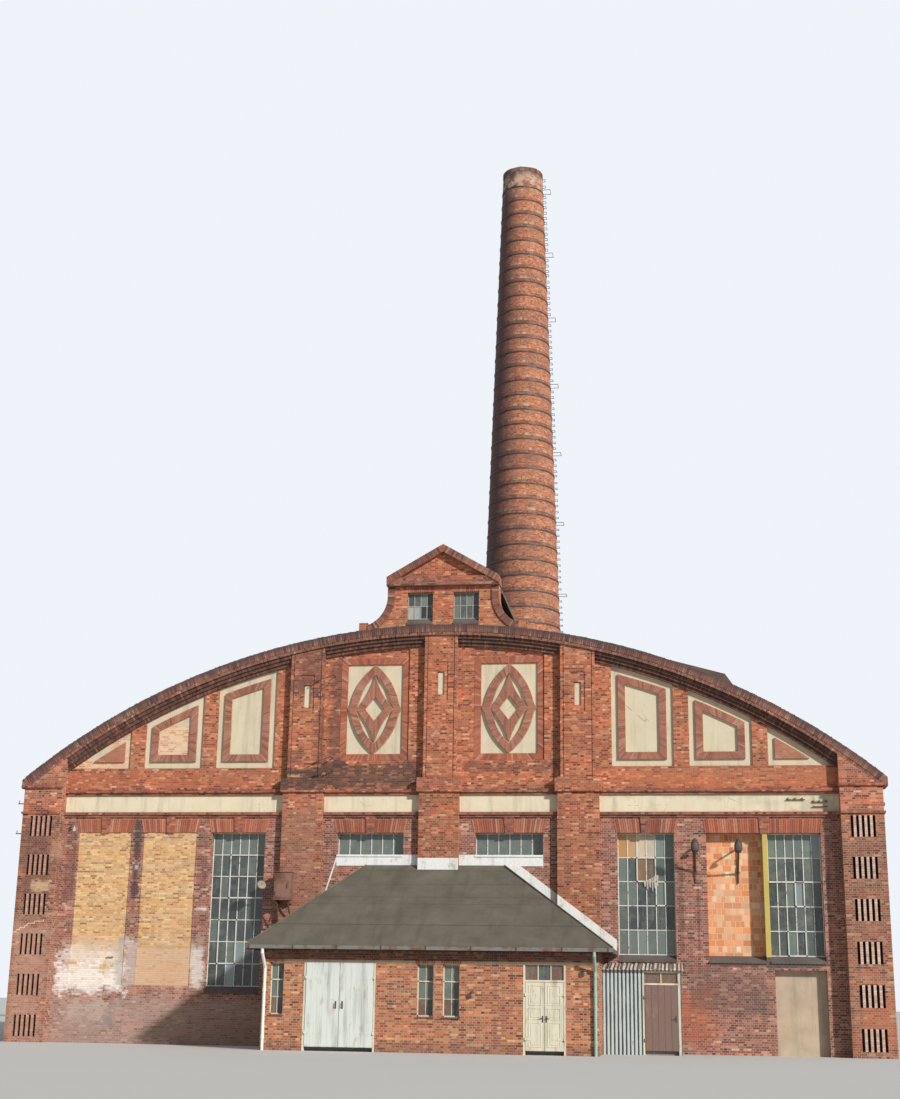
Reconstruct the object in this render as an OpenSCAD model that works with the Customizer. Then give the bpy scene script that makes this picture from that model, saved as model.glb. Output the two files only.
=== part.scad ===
// Brick works hall with a curved gable, a hipped front annex and a round chimney,
// as a 1:2 scale model in millimetres. The origin is the middle of the hall at
// ground level, +Z is up and the decorated gable faces -Y.

/* [Hall] */
// Width of the hall over its side walls
hall_w = 15400; // [14000:50:17000]
// Length of the hall from gable face to gable face
hall_d = 13400; // [12000:50:17000]
// Thickness of the two gable walls
gable_wall_t = 320; // [260:10:400]
// Thickness of the side walls
side_wall_t = 250; // [200:10:320]
// Height of the string course under the cream frieze
string_z = 4000; // [3900:10:4100]
// Height of the flat brick band under the gable fields
band_z = 4475; // [4420:5:4500]
// Height where the gable fields start
field_z = 4860; // [4820:5:4900]
// Thickness of the ground floor slab
floor_t = 60; // [40:5:100]

/* [Curved gable] */
// Outer radius of the gable coping
gable_r = 12200; // [11800:50:12600]
// Height of the coping at its crown
crown_z = 7450; // [7300:10:7600]
// Thickness of the coping
coping_t = 190; // [140:5:240]
// How far the coping stands out of the wall face
coping_out = 170; // [130:5:220]
// Depth of one corbel step under the coping
corbel_step = 60; // [45:5:70]
// How far each corbel step stands out of the one below
corbel_out = 40; // [30:2:50]
// Number of corbel steps
corbel_count = 3; // [2:1:4]
// How far the cream fields lie behind the brick face
field_sink = 60; // [40:5:90]
// Thickness of the cream render
render_t = 20; // [10:5:30]
// Brick beside the outermost cream fields and the side pilasters
field_jamb = 225; // [200:5:250]
// Brick strip between two cream fields
field_strip = 270; // [240:5:300]
// Brick strip between the last cream field and the corner pier
field_end = 75; // [50:5:110]
// Cream border outside a brick ring
ring_in = 120; // [100:5:140]
// Width of a brick ring
ring_w = 130; // [110:5:150]
// Brick beside the cream fields over the annex
mid_field_jamb = 362; // [340:2:380]
// Bottom of the cream fields over the annex
mid_field_z0 = 5105; // [5050:5:5150]
// Top of the cream fields over the annex
mid_field_z1 = 6755; // [6700:5:6780]
// Width of the brick frame round the fields over the annex
mid_ring_w = 125; // [110:5:140]
// Height of the frieze of cream render
frieze_h = 310; // [280:5:330]

/* [Lozenge reliefs] */
// Half width of a lozenge
lozenge_hw = 500; // [470:5:510]
// Half height of a lozenge
lozenge_hh = 820; // [790:5:823]
// Half width of the opening inside a lozenge
lozenge_in_hw = 345; // [320:5:360]
// Half height of the opening inside a lozenge
lozenge_in_hh = 632; // [600:2:650]
// Half width of the cream diamond in the middle
diamond_hw = 175; // [140:5:190]
// Half height of the cream diamond in the middle
diamond_hh = 228; // [200:4:260]
// Hollow of the lozenge sides beside the side tips
ogee_hollow = 14; // [6:1:22]
// Swell of the lozenge sides towards the upper and lower tips
ogee_full = 63; // [50:1:72]
// Swell of the sides of the opening
ogee_in_full = 38; // [28:1:44]
// Hollow of the inner diamond's sides
diamond_hollow = 50; // [36:2:56]
// How far the lozenges stand out of the cream field
lozenge_out = 50; // [30:5:70]

/* [Piers and pilasters] */
// Width of the corner piers
pier_w = 725; // [650:5:800]
// How far the corner piers stand out
pier_out = 250; // [200:10:300]
// Distance of the side pilasters from the middle
pilaster_x = 2480; // [2440:5:2520]
// Width of the side pilasters below the band
pilaster_w = 740; // [700:5:780]
// Width of the middle pilaster below the band
mid_pilaster_w = 720; // [680:5:760]
// How far the pilasters stand out
pilaster_out = 130; // [100:5:170]
// How much narrower a pilaster is above the band
pilaster_set = 120; // [80:5:150]
// Width of the upright grooves near the pilaster edges
groove_w = 14; // [10:1:20]
// Width of the recessed frame round a pilaster slot
slot_frame_w = 270; // [240:5:300]
// Height of the recessed frame round a pilaster slot
slot_frame_h = 720; // [680:5:760]
// Foot of the slot frames on the side pilasters
side_slot_z = 5830; // [5780:5:5880]
// Foot of the slot frame on the middle pilaster
mid_slot_z = 6050; // [6000:5:6100]
// Width of one ventilation slot in the corner piers
slot_w = 45; // [35:1:55]
// Height of one ventilation slot
slot_h = 365; // [320:5:400]
// Distance between the slots
slot_pitch = 92; // [85:1:100]
// Depth of the slots
slot_depth = 120; // [80:5:180]
// Height between the rows of slots
slot_row_pitch = 700; // [680:5:720]

/* [Hall windows] */
// Height of the window heads
head_z = 3690; // [3640:5:3740]
// Height of the sills of the tall windows on the left
low_sill_z = 1000; // [900:10:1200]
// Height of the sills of the windows on the right
high_sill_z = 1620; // [1580:10:1700]
// Height of the sills of the windows over the annex
strip_sill_z = 3300; // [3250:10:3350]
// How far the glazing lies behind the wall face
glass_in = 150; // [120:5:200]
// Thickness of the window frames
sash_t = 30; // [20:5:40]
// Width of a steel glazing bar
bar_w = 14; // [10:1:20]
// Height of a pane in the tall windows
pane_h = 385; // [340:5:430]
// Thickness of the glass
glass_t = 6; // [4:1:10]
// Width of the windows in the side and rear walls
side_window_w = 980; // [900:10:1060]
// Number of bays along each side wall
side_bays = 6; // [5:1:7]
// Brick between the left side pilaster and its window
left_jamb_in = 325; // [280:5:370]
// Brick between the left corner pier and its window
left_jamb_out = 300; // [260:5:340]
// Brick between the two inner windows on the left
left_pier_in = 280; // [240:5:320]
// Brick between the two outer windows on the left
left_pier_out = 240; // [200:5:280]
// Brick between the right side pilaster and its window
right_jamb_in = 300; // [260:5:340]
// Brick between the right corner pier and its window
right_jamb_out = 335; // [290:5:380]
// Brick between the single and the double window on the right
right_pier = 550; // [500:5:600]
// Share of the single window in the free width on the right
single_share = 0.345; // [0.33:0.005:0.36]
// Share of the glazed half of the double window
glazed_share = 0.32; // [0.3:0.005:0.34]
// Width of the post in the double window
post_w = 75; // [60:5:100]
// Brick beside the windows over the annex, next to the middle pilaster
mid_jamb_in = 285; // [260:5:320]
// Brick beside the windows over the annex, next to the side pilasters
mid_jamb_out = 260; // [230:5:290]
// Height of a sloped sill
sill_h = 125; // [90:5:150]
// How far the sills and keystones stand out
key_out = 25; // [15:1:35]
// Width of a keystone at its foot
key_w0 = 140; // [120:5:160]
// Width of a keystone at its head
key_w1 = 180; // [160:5:200]
// How far the bricked-up windows lie behind the wall face
infill_in = 12; // [6:1:30]
// Thickness of the brick and block infills
infill_t = 125; // [100:5:150]

/* [Gablet] */
// Width of the gablet wall
gablet_w = 2080; // [1980:10:2120]
// Height of the gablet eaves
gablet_eaves_z = 8390; // [8340:5:8440]
// Height of the gablet apex
gablet_apex_z = 9005; // [8960:5:9050]
// Height of the brick band under the gablet eaves
gablet_band_h = 170; // [150:5:190]
// Radius of the hollow shoulders
scroll_r = 570; // [540:5:600]
// Height where the hollow shoulders start
scroll_z = 8030; // [8000:5:8060]
// How far the shoulders stop short of their lowest point
scroll_short = 205; // [180:5:230]
// Width of the raised edge along the shoulders
shoulder_w = 135; // [110:5:145]
// Width of the end blocks of the shoulders
end_block_w = 165; // [140:5:190]
// Thickness of the raking coping on the gablet
rake_t = 150; // [120:5:165]
// Overhang of the gablet eaves
gablet_over = 15; // [10:5:40]
// Inner edge of the gablet windows
gablet_window_x = 190; // [170:5:210]
// Width of the gablet windows
gablet_window_w = 480; // [430:5:500]
// Sill height of the gablet windows
gablet_sill_z = 7615; // [7600:5:7640]
// Head height of the gablet windows
gablet_head_z = 8110; // [8080:5:8150]

/* [Roofs] */
// How far the roof lies below the top of the coping
roof_drop = 300; // [260:10:340]
// Thickness of the hall roof
roof_t = 120; // [90:5:150]
// Half width of the ridge lantern
lantern_hw = 950; // [880:10:1000]
// Thickness of the lantern walls
lantern_t = 100; // [80:5:120]
// Thickness of the lantern roof
lantern_roof_t = 60; // [40:5:80]
// Distance of the raised rooflights from the middle, inner edge
light_x0 = 2370; // [2250:10:2500]
// Distance of the raised rooflights from the middle, outer edge
light_x1 = 5475; // [5350:5:5600]
// Width of the steep outer slope of a rooflight
light_lip = 295; // [250:5:340]
// Height of the rooflights over the roof at the inner edge
light_rise0 = 900; // [840:5:960]
// Height of the rooflights over the roof at the knee
light_rise1 = 1075; // [1000:5:1120]
// Height of the rooflights over the roof at the outer edge
light_rise2 = 800; // [750:5:850]
// Thickness of the rooflight shells
light_t = 50; // [40:5:70]
// Distance of the rooflights from the gable walls
light_gap = 2400; // [1800:50:3000]

/* [Annex] */
// Left edge of the annex walls
annex_x0 = -2600; // [-2700:10:-2550]
// Right edge of the annex walls
annex_x1 = 2900; // [2850:10:3000]
// Depth of the annex in front of the hall
annex_d = 2000; // [1900:10:2100]
// Thickness of the annex walls
annex_wall_t = 150; // [120:5:180]
// Height of the annex eaves
annex_eaves_z = 1660; // [1600:5:1720]
// Height of the annex roof where it meets the hall
annex_top_z = 3125; // [3080:5:3180]
// Overhang of the annex roof
annex_over = 240; // [200:10:280]
// Left end of the roof's top edge
annex_top_x0 = -1300; // [-1400:10:-1200]
// Right end of the roof's top edge
annex_top_x1 = 1175; // [1100:10:1250]
// Vertical thickness of the annex roof
annex_roof_t = 70; // [50:5:100]
// Head height of the annex doors and windows
annex_head_z = 1380; // [1350:5:1420]
// Sill height of the annex windows
annex_sill_z = 560; // [500:10:640]
// Thickness of the metal flashing
flashing_t = 12; // [6:1:20]
// Height of the flashing along the right hip
flashing_right = 190; // [150:5:230]
// Height of the flashing along the left hip
flashing_left = 90; // [70:5:120]
// Width of the gutter
gutter_w = 60; // [50:5:80]
// Thickness of the gutter walls
gutter_t = 8; // [4:1:12]
// Radius of the downpipes
pipe_r = 26; // [20:1:32]
// Height of the pale lintels over the annex openings
lintel_h = 50; // [30:5:80]

/* [Doors] */
// Left edge of the wide yard doorway
yard_x0 = -1900; // [-1950:10:-1850]
// Width of the wide yard doorway
yard_w = 1190; // [1100:10:1250]
// Left edge of the entrance doorway
entrance_x0 = 1695; // [1650:5:1740]
// Width of the entrance doorway
entrance_w = 680; // [640:5:720]
// Height of the entrance leaves above the floor
entrance_leaf_h = 1050; // [1000:5:1080]
// Width of the door frame timbers
frame_w = 30; // [24:1:36]
// Depth of the door frame timbers
frame_d = 70; // [50:5:90]
// Thickness of the door leaves
leaf_t = 25; // [20:1:32]
// Gap round a door leaf
leaf_gap = 6; // [5:0.5:8]
// Distance of the hinge pins in front of the leaves
pin_out = 12; // [10:1:16]
// Radius of the hinge pins
pin_r = 4; // [3:0.5:5]
// Radial clearance of the knuckles on the pins
pin_clear = 0.3; // [0.2:0.1:0.5]
// Radius of the hinge knuckles
knuckle_r = 8; // [7:0.5:9]
// Height of a hinge knuckle
knuckle_h = 40; // [30:5:60]

/* [Porch] */
// Width of the porch beside the annex
porch_w = 1300; // [1200:10:1400]
// Depth of the porch
porch_d = 800; // [700:10:900]
// Height of the porch front
porch_h = 1360; // [1300:10:1400]
// Gap between the porch roof and the window sill over it
porch_gap = 10; // [4:1:30]
// Distance between the folds of the porch sheets
sheet_pitch = 65; // [50:5:80]
// Depth of the folds of the porch sheets
sheet_fold = 10; // [6:1:14]
// Thickness of the porch walls
porch_wall_t = 25; // [20:1:40]
// Width of the porch door leaf
porch_leaf_w = 540; // [500:5:580]
// Height of the porch door leaf
porch_leaf_h = 1040; // [1000:5:1080]
// Depth of one fold of the corrugated porch roof
fold_d = 18; // [12:1:24]

/* [Chimney] */
// Height of the chimney above ground
chimney_h = 25000; // [23000:100:27000]
// Radius of the shaft at its foot
chimney_r0 = 1443; // [1400:10:1600]
// Radius of the shaft at its top
chimney_r1 = 592; // [540:1:640]
// Wall thickness of the shaft at its foot
chimney_wall0 = 320; // [260:10:380]
// Wall thickness of the shaft at its top
chimney_wall1 = 130; // [100:5:160]
// Width of the square plinth
plinth_w = 3500; // [3300:10:3800]
// Height of the plinth
plinth_h = 2600; // [2200:50:3200]
// Distance between the iron hoops
hoop_pitch = 450; // [400:5:500]
// Height of an iron hoop
hoop_h = 36; // [24:2:50]
// Thickness of an iron hoop
hoop_t = 12; // [8:1:16]
// Width of a step iron
iron_w = 150; // [130:5:180]
// How far a step iron stands out of the shaft
iron_out = 85; // [70:5:100]
// Thickness of a step iron
iron_t = 12; // [10:1:16]
// Distance between the step irons
iron_pitch = 175; // [160:5:200]
// How far a rest iron stands out of the shaft
rest_out = 230; // [200:5:260]
// Step irons from one rest iron to the next
rest_step = 12; // [10:1:15]
// Height of the lowest step iron
iron_z0 = 3600; // [3000:50:4500]

/* [Fittings] */
// Width of the lamp cabinet on the left pilaster
cabinet_w = 300; // [260:5:340]
// Height of the lamp cabinet
cabinet_h = 540; // [500:5:580]
// Height of the foot of the lamp cabinet
cabinet_z = 2420; // [2380:5:2460]
// Depth of the lamp cabinet
cabinet_d = 200; // [160:5:240]
// Height of the lamp arms on the right wall
lamp_z = 3426; // [3380:2:3470]
// Reach of the lamp arms
lamp_out = 160; // [130:5:190]

/* [Hidden] */
$fn = 96;
hw = hall_w / 2;
front_y = -hall_d / 2;
arc_z = crown_z - gable_r;
wall_r = gable_r - coping_t;
corbel_r = wall_r - corbel_count * corbel_step;
roof_r = gable_r - roof_drop;
eaves_z = band_z - 275;
pier_x0 = hw - pier_w;
pier_cap = 100;
block_over = 40;
frieze_z = string_z + 50;
cornice_z = frieze_z + frieze_h;
big = 40000;
arc_fn = 720;
// The porch roof rises to the hall wall as far as the sill over it allows
sheet_t = 8;
porch_rise = high_sill_z - sill_h - porch_h - sheet_t - fold_d - porch_gap;
// Sharp tips under the curve are blunted by this much
tip_cut = 1.5;
// Gap between curved or sloped faces that meet
seat_gap = 0.5;
// How far the inner diamonds run into the tips of their rings
tip_lap = 8;
// Side bays and middle bays of the front wall: inner and outer edges
bay_x0 = pilaster_x + pilaster_w / 2;
mid_bay_x0 = mid_pilaster_w / 2;
mid_bay_x1 = pilaster_x - pilaster_w / 2;
bay_w = pier_x0 - bay_x0;
// Windows share what the brick leaves of their bay, in whole millimetres
left_w = floor((bay_w - left_jamb_in - left_pier_in - left_pier_out - left_jamb_out)
    / 3);
right_free = bay_w - right_jamb_in - right_pier - post_w - right_jamb_out;
right_w1 = round(right_free * single_share);
right_w3 = round(right_free * glazed_share);
right_w2 = right_free - right_w1 - right_w3;
mid_w = mid_bay_x1 - mid_bay_x0 - mid_jamb_in - mid_jamb_out;
// Left edge, width, sill height and glazing columns of each front window
window_l3 = [-bay_x0 - left_jamb_in - left_w, left_w, low_sill_z, 6];
window_l2 = [window_l3[0] - left_pier_in - left_w, left_w, low_sill_z, 6];
window_l1 = [window_l2[0] - left_pier_out - left_w, left_w, low_sill_z, 6];
window_ml = [-mid_bay_x1 + mid_jamb_out, mid_w, strip_sill_z, 6];
window_mr = [mid_bay_x0 + mid_jamb_in, mid_w, strip_sill_z, 6];
window_r1 = [bay_x0 + right_jamb_in, right_w1, high_sill_z, 6];
window_r3 = [pier_x0 - right_jamb_out - right_w3, right_w3, high_sill_z, 6];
window_r2 = [window_r3[0] - post_w - right_w2, right_w2, high_sill_z, 6];
// Left edge, width and height of the walled-up doorway
blocked_door = [window_r3[0] + 55, right_w3 - 55, 1390];
// Left edge, width and height of the inner doorway behind the annex
inner_door = [640, 700, 1150];
// Left edge and width of the annex windows
annex_window_list = [[-2470, 230], [-30, 270], [390, 275]];
// Inner edge, outer edge of the three cream fields on each side
field_w = (bay_w - field_jamb - 2 * field_strip - field_end) / 3;
field_list = [for (i = [0:2]) [bay_x0 + field_jamb + i * (field_w + field_strip),
    bay_x0 + field_jamb + i * (field_w + field_strip) + field_w]];
mid_field = [mid_bay_x0 + mid_field_jamb, mid_bay_x1 - mid_field_jamb];
slot_cut_w = slot_frame_w - 140;
slot_cut_h = slot_frame_h - 295;
key_z0 = head_z - 15;
key_z1 = string_z - 40;

function arc_at(r, x) = arc_z + sqrt(r * r - x * x);
function arc_x(r, z) = sqrt(r * r - (z - arc_z) * (z - arc_z));

// Highest level of a strip from x0 to x1 under the curve of radius r
function top_level(r, x0, x1) = x0 * x1 <= 0 ? crown_z + gable_r
    : arc_at(r, min(abs(x0), abs(x1))) - tip_cut;

// Points on an arc from a towards b in n steps, without b itself, bulging by s
function arc_points(a, b, s, n) = let (d = b - a, l = norm(d), q = [d[1], -d[0]] / l)
    [for (i = [0:n - 1]) a + d * i / n + q * s * 4 * (i / n) * (1 - i / n)];

// Whole outline from the quarter that runs from the right tip to the top tip at h
function four_quarters(q, h) = concat(q, [[0, h]],
    [for (i = [len(q) - 1:-1:1]) [-q[i][0], q[i][1]]], [for (p = q) -p], [[0, -h]],
    [for (i = [len(q) - 1:-1:1]) [q[i][0], -q[i][1]]]);

// Box between two corners
module slab(x0, x1, y0, y1, z0, z1) {
    translate([x0, y0, z0]) cube([x1 - x0, y1 - y0, z1 - z0]);
}

// Children stand in front of the decorated gable, with its face at y = 0
module at_front() {
    translate([0, front_y, 0]) children();
}

// Children repeated on the left and on the right
module both_sides() {
    children();
    mirror([1, 0, 0]) children();
}

// Round bar along Y that carries the curve of the gable
module arc_bar(r, y0, y1) {
    translate([0, y0, arc_z]) rotate([-90, 0, 0]) cylinder(r = r, h = y1 - y0, $fn = arc_fn);
}

// Part of a wall under the curve of radius r
module under_arc(r, x0, x1, y0, y1, z0) {
    intersection() {
        arc_bar(r, y0, y1);
        slab(x0, x1, y0, y1, z0, top_level(r, x0, x1));
    }
}

// Curved strip between two radii, above z0 and inside x0 to x1
module arc_strip(r0, r1, x0, x1, y0, y1, z0) {
    low = max(z0, arc_at(r0, max(abs(x0), abs(x1))) + tip_cut);
    difference() {
        intersection() {
            arc_bar(r1, y0, y1);
            slab(x0, x1, y0, y1, low, top_level(r1, x0, x1));
        }
        arc_bar(r0, y0 - 1, y1 + 1);
    }
}

// Window hole through a gable wall, with room for a sill of height drop
module window_hole(w, drop) {
    slab(w[0], w[0] + w[1], -1, gable_wall_t + 1, w[2] - drop, head_z);
}

// Steel window with glass, head at z1
module steel_window(x0, x1, z0, z1, cols, rows, y) {
    pitch_x = (x1 - x0 - bar_w) / cols;
    pitch_z = (z1 - z0 - bar_w) / rows;
    for (i = [0:cols])
        slab(x0 + i * pitch_x, x0 + i * pitch_x + bar_w, y, y + sash_t, z0, z1);
    for (j = [0:rows])
        slab(x0, x1, y, y + sash_t, z0 + j * pitch_z, z0 + j * pitch_z + bar_w);
    slab(x0, x1, y + (sash_t - glass_t) / 2, y + (sash_t + glass_t) / 2, z0, z1);
}

module wall_third(x0, x1, holes, sill_holes) {
    difference() {
        slab(x0, x1, 0, gable_wall_t, 0, string_z);
        for (w = holes) window_hole(w, 0);
        for (w = sill_holes) window_hole(w, sill_h);
        children();
    }
}

module ground_floors() {
    color("gray") {
        slab(-hw + side_wall_t, hw - side_wall_t, front_y + gable_wall_t,
            -front_y - gable_wall_t, 0, floor_t);
        at_front() difference() {
            slab(annex_x0 + annex_wall_t, annex_x1 - annex_wall_t,
                -annex_d + annex_wall_t, 0, 0, floor_t);
            pilaster_feet();
        }
        at_front() slab(annex_x1, annex_x1 + porch_w - porch_wall_t,
            -porch_d + frame_d, 0, 0, floor_t);
    }
}

module front_wall_left() {
    color("firebrick") at_front()
        wall_third(-pier_x0, -pilaster_x, [window_l1, window_l2], [window_l3]);
}

module front_wall_middle() {
    color("firebrick") at_front() wall_third(-pilaster_x, pilaster_x,
        [window_ml, window_mr], [])
            slab(inner_door[0], inner_door[0] + inner_door[1], -1, gable_wall_t + 1,
                floor_t, inner_door[2]);
}

module front_wall_right() {
    color("firebrick") at_front()
        wall_third(pilaster_x, pier_x0, [], [window_r1, window_r2, window_r3])
            slab(blocked_door[0], blocked_door[0] + blocked_door[1], -1,
                gable_wall_t + 1, -1, blocked_door[2]);
}

// One of the side fields, bounded by the curve above
module field_space(f, inset, y0, y1) {
    r = corbel_r - inset;
    z = field_z + inset;
    under_arc(r, f[0] + inset, min(f[1] - inset, arc_x(r, z) - 2 * tip_cut), y0, y1, z);
}

// Recesses of the gable fields, as deep as the cream render needs
module gable_recesses() {
    for (f = field_list) field_space(f, 0, -1, field_sink);
    under_arc(corbel_r, mid_field[0] - mid_ring_w, mid_field[1] + mid_ring_w, -1,
        field_sink / 2, mid_field_z0 - mid_ring_w);
    slab(mid_field[0], mid_field[1], -1, field_sink + render_t, mid_field_z0,
        mid_field_z1);
}

module front_gable() {
    color("indianred") at_front() difference() {
        under_arc(wall_r, -pier_x0, pier_x0, 0, gable_wall_t, string_z);
        both_sides() gable_recesses();
        both_sides() for (b = bay_list)
            slab(b[0], b[1], -1, render_t, frieze_z, cornice_z);
    }
}

// Corner pier with its ventilation slots, on the right
module corner_pier() {
    difference() {
        slab(pier_x0, hw, -pier_out, gable_wall_t, 0, band_z);
        for (row = [0:5], i = [-2:2]) {
            x = (pier_x0 + hw) / 2 + i * slot_pitch;
            z = string_z - 35 - row * slot_row_pitch;
            slab(x - slot_w / 2, x + slot_w / 2, -pier_out - 1, -pier_out + slot_depth,
                z - slot_h, z);
        }
    }
    under_arc(wall_r, pier_x0, hw, -coping_out, gable_wall_t, band_z);
}

// Bands round the head of a corner pier, clear of the pier and the coping
module pier_cap_bands() {
    difference() {
        union() {
            slab(pier_x0, hw + key_out, -pier_out - key_out, gable_wall_t, string_z,
                string_z + 40);
            slab(pier_x0, hw + 2 * key_out, -pier_out - 2 * key_out, gable_wall_t,
                band_z, band_z + 50);
        }
        slab(pier_x0 - 1, hw, -pier_out, gable_wall_t + 1, 0, crown_z);
        arc_strip(wall_r - seat_gap, gable_r + 1, 0, hw + pier_cap + 1,
            -coping_out - seat_gap, gable_wall_t, string_z);
    }
}

module pier_caps() {
    color("darkred") at_front() both_sides() pier_cap_bands();
}

module corner_piers() {
    color("brown") at_front() both_sides() corner_pier();
}

// Block at the height of the band, from which the upper part of a pilaster rises
module pilaster_block(x, w) {
    slab(x - w / 2 - block_over, x + w / 2 + block_over, -pilaster_out - 50, 0,
        band_z - 75, band_z + 175);
}

// Upright grooves near both edges of a pilaster of width w at x
module pilaster_grooves(x, w, z0, z1) {
    for (side = [-1, 1])
        slab(x + side * (w / 2 - 4 * groove_w) - groove_w / 2,
            x + side * (w / 2 - 4 * groove_w) + groove_w / 2,
            -pilaster_out - 1, -pilaster_out + groove_w, z0, z1);
}

module pilaster(x, w) {
    upper = w - pilaster_set;
    z = x == 0 ? mid_slot_z : side_slot_z;
    slab(x - w / 2, x + w / 2, -pilaster_out, 0, 0, band_z - 75);
    pilaster_block(x, w);
    difference() {
        under_arc(wall_r, x - upper / 2, x + upper / 2, -pilaster_out, 0, band_z + 175);
        slab(x - slot_frame_w / 2, x + slot_frame_w / 2, -pilaster_out - 1,
            -pilaster_out + 20, z, z + slot_frame_h);
        slab(x - slot_cut_w / 2, x + slot_cut_w / 2, -pilaster_out - 1,
            -pilaster_out + 60, z + 110, z + 110 + slot_cut_h);
        pilaster_grooves(x, upper, band_z + 175, big);
    }
}

// Ground plan of the pilasters, raised through every storey
module pilaster_feet() {
    slab(-mid_pilaster_w / 2, mid_pilaster_w / 2, -pilaster_out, 1, -1, big);
    both_sides() slab(mid_bay_x1, bay_x0, -pilaster_out, 1, -1, big);
}

module front_pilasters() {
    color("sienna") at_front() {
        pilaster(0, mid_pilaster_w);
        both_sides() pilaster(pilaster_x, pilaster_w);
    }
}

// Length of wall between the pilasters and piers: inner and outer edges
bay_list = [[mid_bay_x0, mid_bay_x1], [bay_x0, pier_x0]];

module string_course() {
    color("darkred") at_front() both_sides() for (b = bay_list) {
        slab(b[0], b[1], -60, 0, string_z, string_z + 50);
        slab(b[0], b[1], -30, 0, string_z - 40, string_z);
    }
}

module front_cornice() {
    color("darkred") at_front() both_sides() difference() {
        for (b = bay_list) {
            slab(b[0], b[1], -40, 0, cornice_z, cornice_z + 40);
            slab(b[0], b[1], -75, 0, cornice_z + 40, cornice_z + 100);
        }
        pilaster_block(0, mid_pilaster_w);
        pilaster_block(pilaster_x, pilaster_w);
    }
}

module cream_panels() {
    color("wheat") at_front() {
        both_sides() for (f = field_list)
            field_space(f, 0, field_sink - render_t, field_sink);
        both_sides() slab(mid_field[0], mid_field[1], field_sink, field_sink + render_t,
            mid_field_z0, mid_field_z1);
        both_sides() for (b = bay_list)
            slab(b[0], b[1], 0, render_t, frieze_z, cornice_z);
    }
}

// Brick ring inside a cream field
module field_ring(f) {
    difference() {
        field_space(f, ring_in, 0, field_sink - render_t);
        field_space(f, ring_in + ring_w, -1, field_sink + 1);
    }
}

module panel_frames() {
    color("firebrick") at_front() both_sides() {
        field_ring(field_list[0]);
        field_ring(field_list[1]);
        field_space(field_list[2], ring_in, 0, field_sink - render_t);
    }
}

// Where the sides of a lozenge and of its opening turn, as shares of the half sizes
waist_x = 0.85;
waist_z = 0.23;
waist_in_x = 0.77;
waist_in_z = 0.35;

// Quarter of a pointed outline: hollow beside the side tip, full towards the top
function ogee_quarter(w, h, waist, hollow, full) = concat(
    arc_points([w, 0], waist, -hollow, 4), arc_points(waist, [0, h], full, 10));

module lozenge_outline() {
    waist = [waist_x * lozenge_hw, waist_z * lozenge_hh];
    polygon(four_quarters(ogee_quarter(lozenge_hw, lozenge_hh, waist, ogee_hollow,
        ogee_full), lozenge_hh));
}

module lozenge_opening() {
    waist = [waist_in_x * lozenge_in_hw, waist_in_z * lozenge_in_hh];
    polygon(four_quarters(ogee_quarter(lozenge_in_hw, lozenge_in_hh, waist, 0,
        ogee_in_full), lozenge_in_hh));
}

module lozenge_relief() {
    tip_w = lozenge_in_hw + tip_lap;
    tip_h = lozenge_in_hh + tip_lap;
    linear_extrude(lozenge_out) difference() {
        lozenge_outline();
        lozenge_opening();
    }
    // The inner diamond runs into the ring's tips and has hollow sides
    linear_extrude(lozenge_out) difference() {
        polygon(four_quarters(arc_points([tip_w, 0], [0, tip_h], -diamond_hollow, 10),
            tip_h));
        polygon([[diamond_hw, 0], [0, diamond_hh], [-diamond_hw, 0], [0, -diamond_hh]]);
    }
}

module lozenge_reliefs() {
    color("tomato") at_front() both_sides()
        translate([(mid_field[0] + mid_field[1]) / 2, field_sink,
            (mid_field_z0 + mid_field_z1) / 2])
            rotate([90, 0, 0]) lozenge_relief();
}

// Corbel runs reach the narrower upper parts of the pilasters
corbel_list = [[mid_bay_x0 - pilaster_set / 2, mid_bay_x1 + pilaster_set / 2],
    [bay_x0 - pilaster_set / 2, pier_x0]];

module gable_corbels() {
    color("darkred") at_front() both_sides() for (b = corbel_list)
        for (i = [1:corbel_count])
            arc_strip(corbel_r + (i - 1) * corbel_step,
                corbel_r + i * corbel_step - (i == corbel_count ? seat_gap : 0),
                b[0], b[1], -i * corbel_out, 0, band_z);
}

module coping_arc() {
    arc_strip(wall_r, gable_r, -hw - pier_cap, hw + pier_cap, -coping_out,
        gable_wall_t, band_z);
}

module gable_coping() {
    color("saddlebrown") {
        at_front() coping_arc();
        mirror([0, 1, 0]) at_front() coping_arc();
    }
}

gablet_hw = gablet_w / 2 + gablet_over;
// Middle of the shoulders' curve, and the end block where they stop
scroll_x = gablet_w / 2 + scroll_r;
gablet_foot = scroll_x - scroll_short;
end_block_z = scroll_z - scroll_r + 85;
// The gablet stands on the coping: its lowest corners are blunted
gablet_base_z = arc_at(gable_r, gablet_foot + end_block_w) + tip_cut;
rake_slope = (gablet_apex_z - gablet_eaves_z) / gablet_hw;

// Underside of the raking coping
function rake_z(x) = gablet_apex_z - rake_t - x * rake_slope;

// Right half of the gablet wall with its hollow shoulder
module gablet_half() {
    difference() {
        union() {
            polygon([[0, gablet_base_z], [gablet_w / 2, gablet_base_z],
                [gablet_w / 2, rake_z(gablet_w / 2) - seat_gap],
                [0, rake_z(0) - seat_gap]]);
            translate([gablet_w / 2, gablet_base_z])
                square([gablet_foot - gablet_w / 2, scroll_z - gablet_base_z]);
            translate([gablet_foot, gablet_base_z])
                square([end_block_w, end_block_z - gablet_base_z]);
        }
        shoulder_circle(scroll_r);
    }
}

module shoulder_circle(r) {
    intersection() {
        translate([scroll_x, scroll_z]) circle(r = r, $fn = 128);
        square([gablet_foot, scroll_z + 1]);
    }
}

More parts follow.
